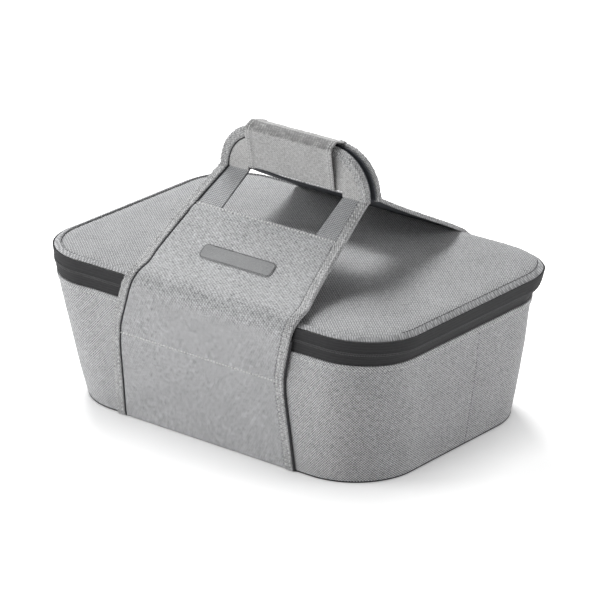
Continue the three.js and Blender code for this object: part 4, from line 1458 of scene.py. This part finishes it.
def build_handle(end):
    side, name, body = end["side"], end["name"], end["handle"]
    panel = handle_sheet(f"{name}_handle_panel", side, HANDLE_FACE, FABRIC, HANDLE_CLOTH, body,
                         EDGE - 0.0008, 0.0002)
    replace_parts(panel, f"{name}_handle_fabric")
    inner = min(abs(corner.y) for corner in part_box(f"{name}_handle_lining"))
    lining = handle_sheet(f"{name}_handle_back", side, inner + BACK_THICK, BACK_THICK, SLATE, body,
                          LINING_EDGE)
    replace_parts(lining, f"{name}_handle_lining")
    core = handle_sheet(f"{name}_handle_stiffener", side, HANDLE_FACE - FABRIC - GAP, CORE_THICK,
                        BOARD_LOOK, body, EDGE - 0.001)
    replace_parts(core, f"{name}_handle_core")

    s = np.linspace(-EDGE_PAST_FOOT, ARCH[-1] + EDGE_PAST_FOOT, 330)[:, None]
    across, height, folds, lift = gathered(s, 1, 44, 0.34)
    middle = (HANDLE_FACE + HANDLE_BACK) / 2
    tall = (HANDLE_FACE - HANDLE_BACK) / 2 + 0.0005
    inside = np.clip(s, 0, ARCH[-1])
    x, z = arch(side, inside, EDGE / 2 - across * EDGE / 2 - folds * 0.6 * (across > 0))
    out = middle + tall * height + np.where(height > 0, lift, 0)
    points = grid(x, side * out, z - np.abs(s - inside))
    binding = surface(f"{name}_handle_edge", points, gathered_uv(across, height, tall, s), BINDING,
                      wrap=(False, True), flip=side > 0, caps=True)
    put(binding, body, f"{name}_handle_binding")

    # A very dark cord along the binding up one leg of the handle: painted shade of the groove there
    def line(s, inset, up):
        x, z = arch(side, s, EDGE + INNER_SHADE_CORD + inset)
        return grid(x, side * (HANDLE_FACE + up), z)
    reach = np.linspace(0, ARCH[-1] * 0.23, 90)[:, None]
    s = reach if side < 0 else ARCH[-1] - reach
    put(cord(f"{name}_handle_welt", s, INNER_SHADE_CORD, line, False), body)

    rows = []
    s = np.linspace(EDGE_PAST_FOOT, ARCH[-1] - EDGE_PAST_FOOT, 300)
    for inset in EDGE_ROWS:
        x, z = arch(side, s, inset)
        rows.append((grid(x, side * (middle + tall + 0.0002), z), grid(0 * s, side, 0)))
    put(stitches(f"{name}_handle_stitches", rows, GREY_THREAD, EDGE_PITCH, 0.0007), body)


# Grip

def smooth_line(points, count):
    """A rounded line through points, evenly spaced."""
    points = np.array(points, float)
    padded = np.concatenate([[2 * points[0] - points[1]], points, [2 * points[-1] - points[-2]]])
    fine = []
    for k in range(len(points) - 1):
        a, b, c, d = padded[k:k + 4]
        for t in np.linspace(0, 1, 12, endpoint=False):
            fine.append(0.5 * (2 * b + (c - a) * t + (2 * a - 5 * b + 4 * c - d) * t * t
                               + (3 * b - a - 3 * c + d) * t ** 3))
    fine = np.array(fine + [points[-1]])
    lengths = lengths_of(fine)
    at = np.linspace(0, lengths[-1], count)
    return np.stack([np.interp(at, lengths, fine[:, k]) for k in range(2)], 1), at


def grip_skin(name, profile, look):
    """The wrap of the grip: a profile of (y, z) swept along X, with a raised hem at each end."""
    line, along = smooth_line(profile, 84)
    slope = np.gradient(line, axis=0)
    out = np.stack([-slope[:, 1], slope[:, 0]], 1)
    out /= np.linalg.norm(out, axis=1, keepdims=True)
    along, line_z = along[:, None], line[:, 1:2]
    x = (stops(2 * GRIP_HALF, FINE, SHEET_EDGE) - GRIP_HALF)[None, :]
    from_end = GRIP_HALF - np.abs(x)
    hem = GRIP_HEM_RISE * (1 - smooth((from_end - GRIP_HEM + 0.0006) / 0.0012))
    high = smooth((line_z - lerp(GRIP_FOOT, GRIP_TOP, 0.76)) / 0.006)
    ridge = np.exp(-((line_z - lerp(GRIP_FOOT, GRIP_TOP, 0.9)) / 0.004) ** 2)
    inside = smooth((from_end - GRIP_HEM) / 0.006)
    creases = pucker(x + 0.4 * along, 0.019, 0.0001) + wobble(x * 1.6, along * 2, 0.00015)
    crush = high * inside * (creases + 0.0004)
    dent = -0.0003 * inside * np.exp(-((x + 0.016) / 0.006) ** 2) * ridge
    lift = hem + crush + dent + wobble(x, along, GRIP_UNEVEN) - rolled(from_end, SHEET_EDGE)
    y = line[:, 0:1] + out[:, 0:1] * lift
    z = line_z + out[:, 1:2] * lift
    pinch = FLAP_PINCH * smooth(y / 0.012) * (x + GRIP_HALF) / (2 * GRIP_HALF)
    points = grid(handle_middle(-1) + x - pinch, y, z)
    piece = surface(name, points, grid(x, along), look, thick=GRIP_SKIN * 0.85)
    rows = []
    ups = grid(0, out[:, 0], out[:, 1])
    for inset in HEM_ROWS:
        for sign in (-1, 1):
            column = int(np.argmin(np.abs(x[0] - sign * (GRIP_HALF - inset))))
            rows.append((points[:, column] + 0.0002 * ups, ups))
    return piece, rows


def build_grip():
    tall = GRIP_TOP - GRIP_FOOT
    middle = handle_middle(-1)
    front = [(-out * GRIP_OUT, GRIP_FOOT + up * tall) for out, up in WRAP_SHARES]
    wrap, rows = grip_skin("grip_cover", front, GRIP_CLOTH)
    put(wrap, "front_handle", "grip_wrap")
    put(stitches("grip_hem_stitches", rows, GREY_THREAD, girth=0.0005), "front_handle")

    flap_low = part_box("grip_flap")[0].z
    lip_low = flap_low + FLAP_LIP
    rear = [(out * GRIP_OUT, GRIP_FOOT + up * tall) for out, up in FLAP_SHARES]
    rear += [(GRIP_OUT * 0.78, flap_low), (GRIP_OUT * 0.3, lerp(flap_low, lip_low, 0.6)),
             (-0.0008, lip_low)]
    flap, rows = grip_skin("grip_flap_cover", rear, HANDLE_CLOTH)
    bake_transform(flap)
    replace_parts(flap, "grip_flap")
    put(stitches("grip_flap_stitches", rows, GREY_THREAD, girth=0.0005), "grip_flap")

    limit_z, limit_y = zip(*((z, y + GRIP_SKIN + GAP) for y, z in front[:8]))

    def bar(name, node, body, look, radius, short=0.0, back=0.0):
        """A strip whose front keeps inside the wrap."""
        low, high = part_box(node)
        half = high.x - middle - short
        section = rounded(low.y + back, high.y, low.z, high.z, radius)
        section[:, 0] = np.maximum(section[:, 0], np.interp(section[:, 1], limit_z, limit_y))
        x = np.linspace(-half, half, 60)[:, None]
        points = grid(middle + x, section[None, :, 0], section[None, :, 1])
        uv = grid(x, loop_lengths(section)[None])
        return put(surface(name, points, uv, look, wrap=(False, True), caps=True), body, node)
    bar("grip_padding", "grip_pad", "front_handle", FOAM_LOOK, 0.001, 0.006)
    bar("loop_tape", "loop_strip", "front_handle", ZIP_TAPE, 0.0004, back=0.002)
    bar("hook_tape", "hook_strip", "grip_flap", ZIP_TAPE, 0.0004, 0.001, back=0.003)


def build_slider():
    softened("zip_runner", "zip_slider", "zip_slider", 0.0005)
    softened("zip_puller", "zip_pull", "zip_pull", 0.0003)


# Camera, lamps and floor

def build_camera():
    right = Vector((math.cos(AZIMUTH), math.sin(AZIMUTH), 0))
    back = Vector((math.sin(AZIMUTH) * math.cos(ELEVATION),
                   -math.cos(AZIMUTH) * math.cos(ELEVATION), math.sin(ELEVATION)))
    data = bpy.data.cameras.new("camera")
    data.sensor_width = SENSOR
    data.lens = LENS
    data.clip_start, data.clip_end = 0.05, 100
    camera = placed("camera", data)
    camera.location = right * AIM_RIGHT + Vector((0, 0, AIM_HEIGHT)) + back * CAMERA_FAR
    camera.rotation_mode = "QUATERNION"
    camera.rotation_quaternion = (-back).to_track_quat("-Z", "Y")
    bpy.context.scene.camera = camera


def lamp(name, place, power, size):
    data = bpy.data.lights.new(name, "AREA")
    data.shape = "RECTANGLE"
    data.size = data.size_y = size
    data.energy = power
    light = placed(name, data)
    light.location = place
    light.rotation_euler = (Vector(LAMP_AIM) - Vector(place)).to_track_quat("-Z", "Y").to_euler()


def seen_directly(tree):
    """1 for rays that show the background: seen by the camera, in a gloss or through glass."""
    path = tree.nodes.new("ShaderNodeLightPath")
    shown = math_node(tree, "MAXIMUM", path.outputs["Is Camera Ray"], path.outputs["Is Glossy Ray"])
    return math_node(tree, "MAXIMUM", shown, path.outputs["Is Transmission Ray"])


def build_world():
    world = bpy.data.worlds.new("studio")
    bpy.context.scene.world = world
    world.use_nodes = True
    tree = world.node_tree
    tree.nodes.clear()
    mix = new_node(tree, "MixShader", Fac=seen_directly(tree))
    for socket, strength in ((1, AMBIENT), (2, 1)):
        light = new_node(tree, "Background", Color=WHITE, Strength=strength)
        tree.links.new(light.outputs[0], mix.inputs[socket])
    new_node(tree, "OutputWorld", Surface=mix.outputs[0])


def build_floor():
    material = bpy.data.materials.new("floor")
    material.use_nodes = True
    tree = material.node_tree
    tree.nodes.clear()
    near = new_node(tree, "AmbientOcclusion", Distance=FLOOR_SHADE)
    open_sky = math_node(tree, "POWER", near.outputs["AO"], FLOOR_FADE)
    shown = math_node(tree, "MULTIPLY", seen_directly(tree), FLOOR_GLOW)
    strength = math_node(tree, "MULTIPLY", shown, open_sky)
    diffuse = new_node(tree, "BsdfDiffuse", Color=FLOOR_COLOUR)
    glow = new_node(tree, "Emission", Color=WHITE, Strength=strength)
    total = tree.nodes.new("ShaderNodeAddShader")
    tree.links.new(diffuse.outputs[0], total.inputs[0])
    tree.links.new(glow.outputs[0], total.inputs[1])
    new_node(tree, "OutputMaterial", Surface=total.outputs[0])
    mesh = bpy.data.meshes.new("floor")
    corners = [(x * FLOOR_REACH, y * FLOOR_REACH, 0) for x, y in ((-1, -1), (1, -1), (1, 1), (-1, 1))]
    mesh.from_pydata(corners, [], [(0, 1, 2, 3)])
    mesh.materials.append(material)
    floor = placed("floor", mesh)
    floor.location.z = cad_box[0].z - GAP


build_camera()
build_world()
build_floor()
for lamp_values in LAMPS:
    lamp(*lamp_values)

build_base()
build_walls()
build_padding()
build_inside()
build_zip()
build_lid()
for strap_end in (FRONT, REAR):
    build_strap(strap_end)
    build_handle(strap_end)
build_label()
build_grip()
build_slider()

bpy.context.scene.view_settings.view_transform = "Standard"
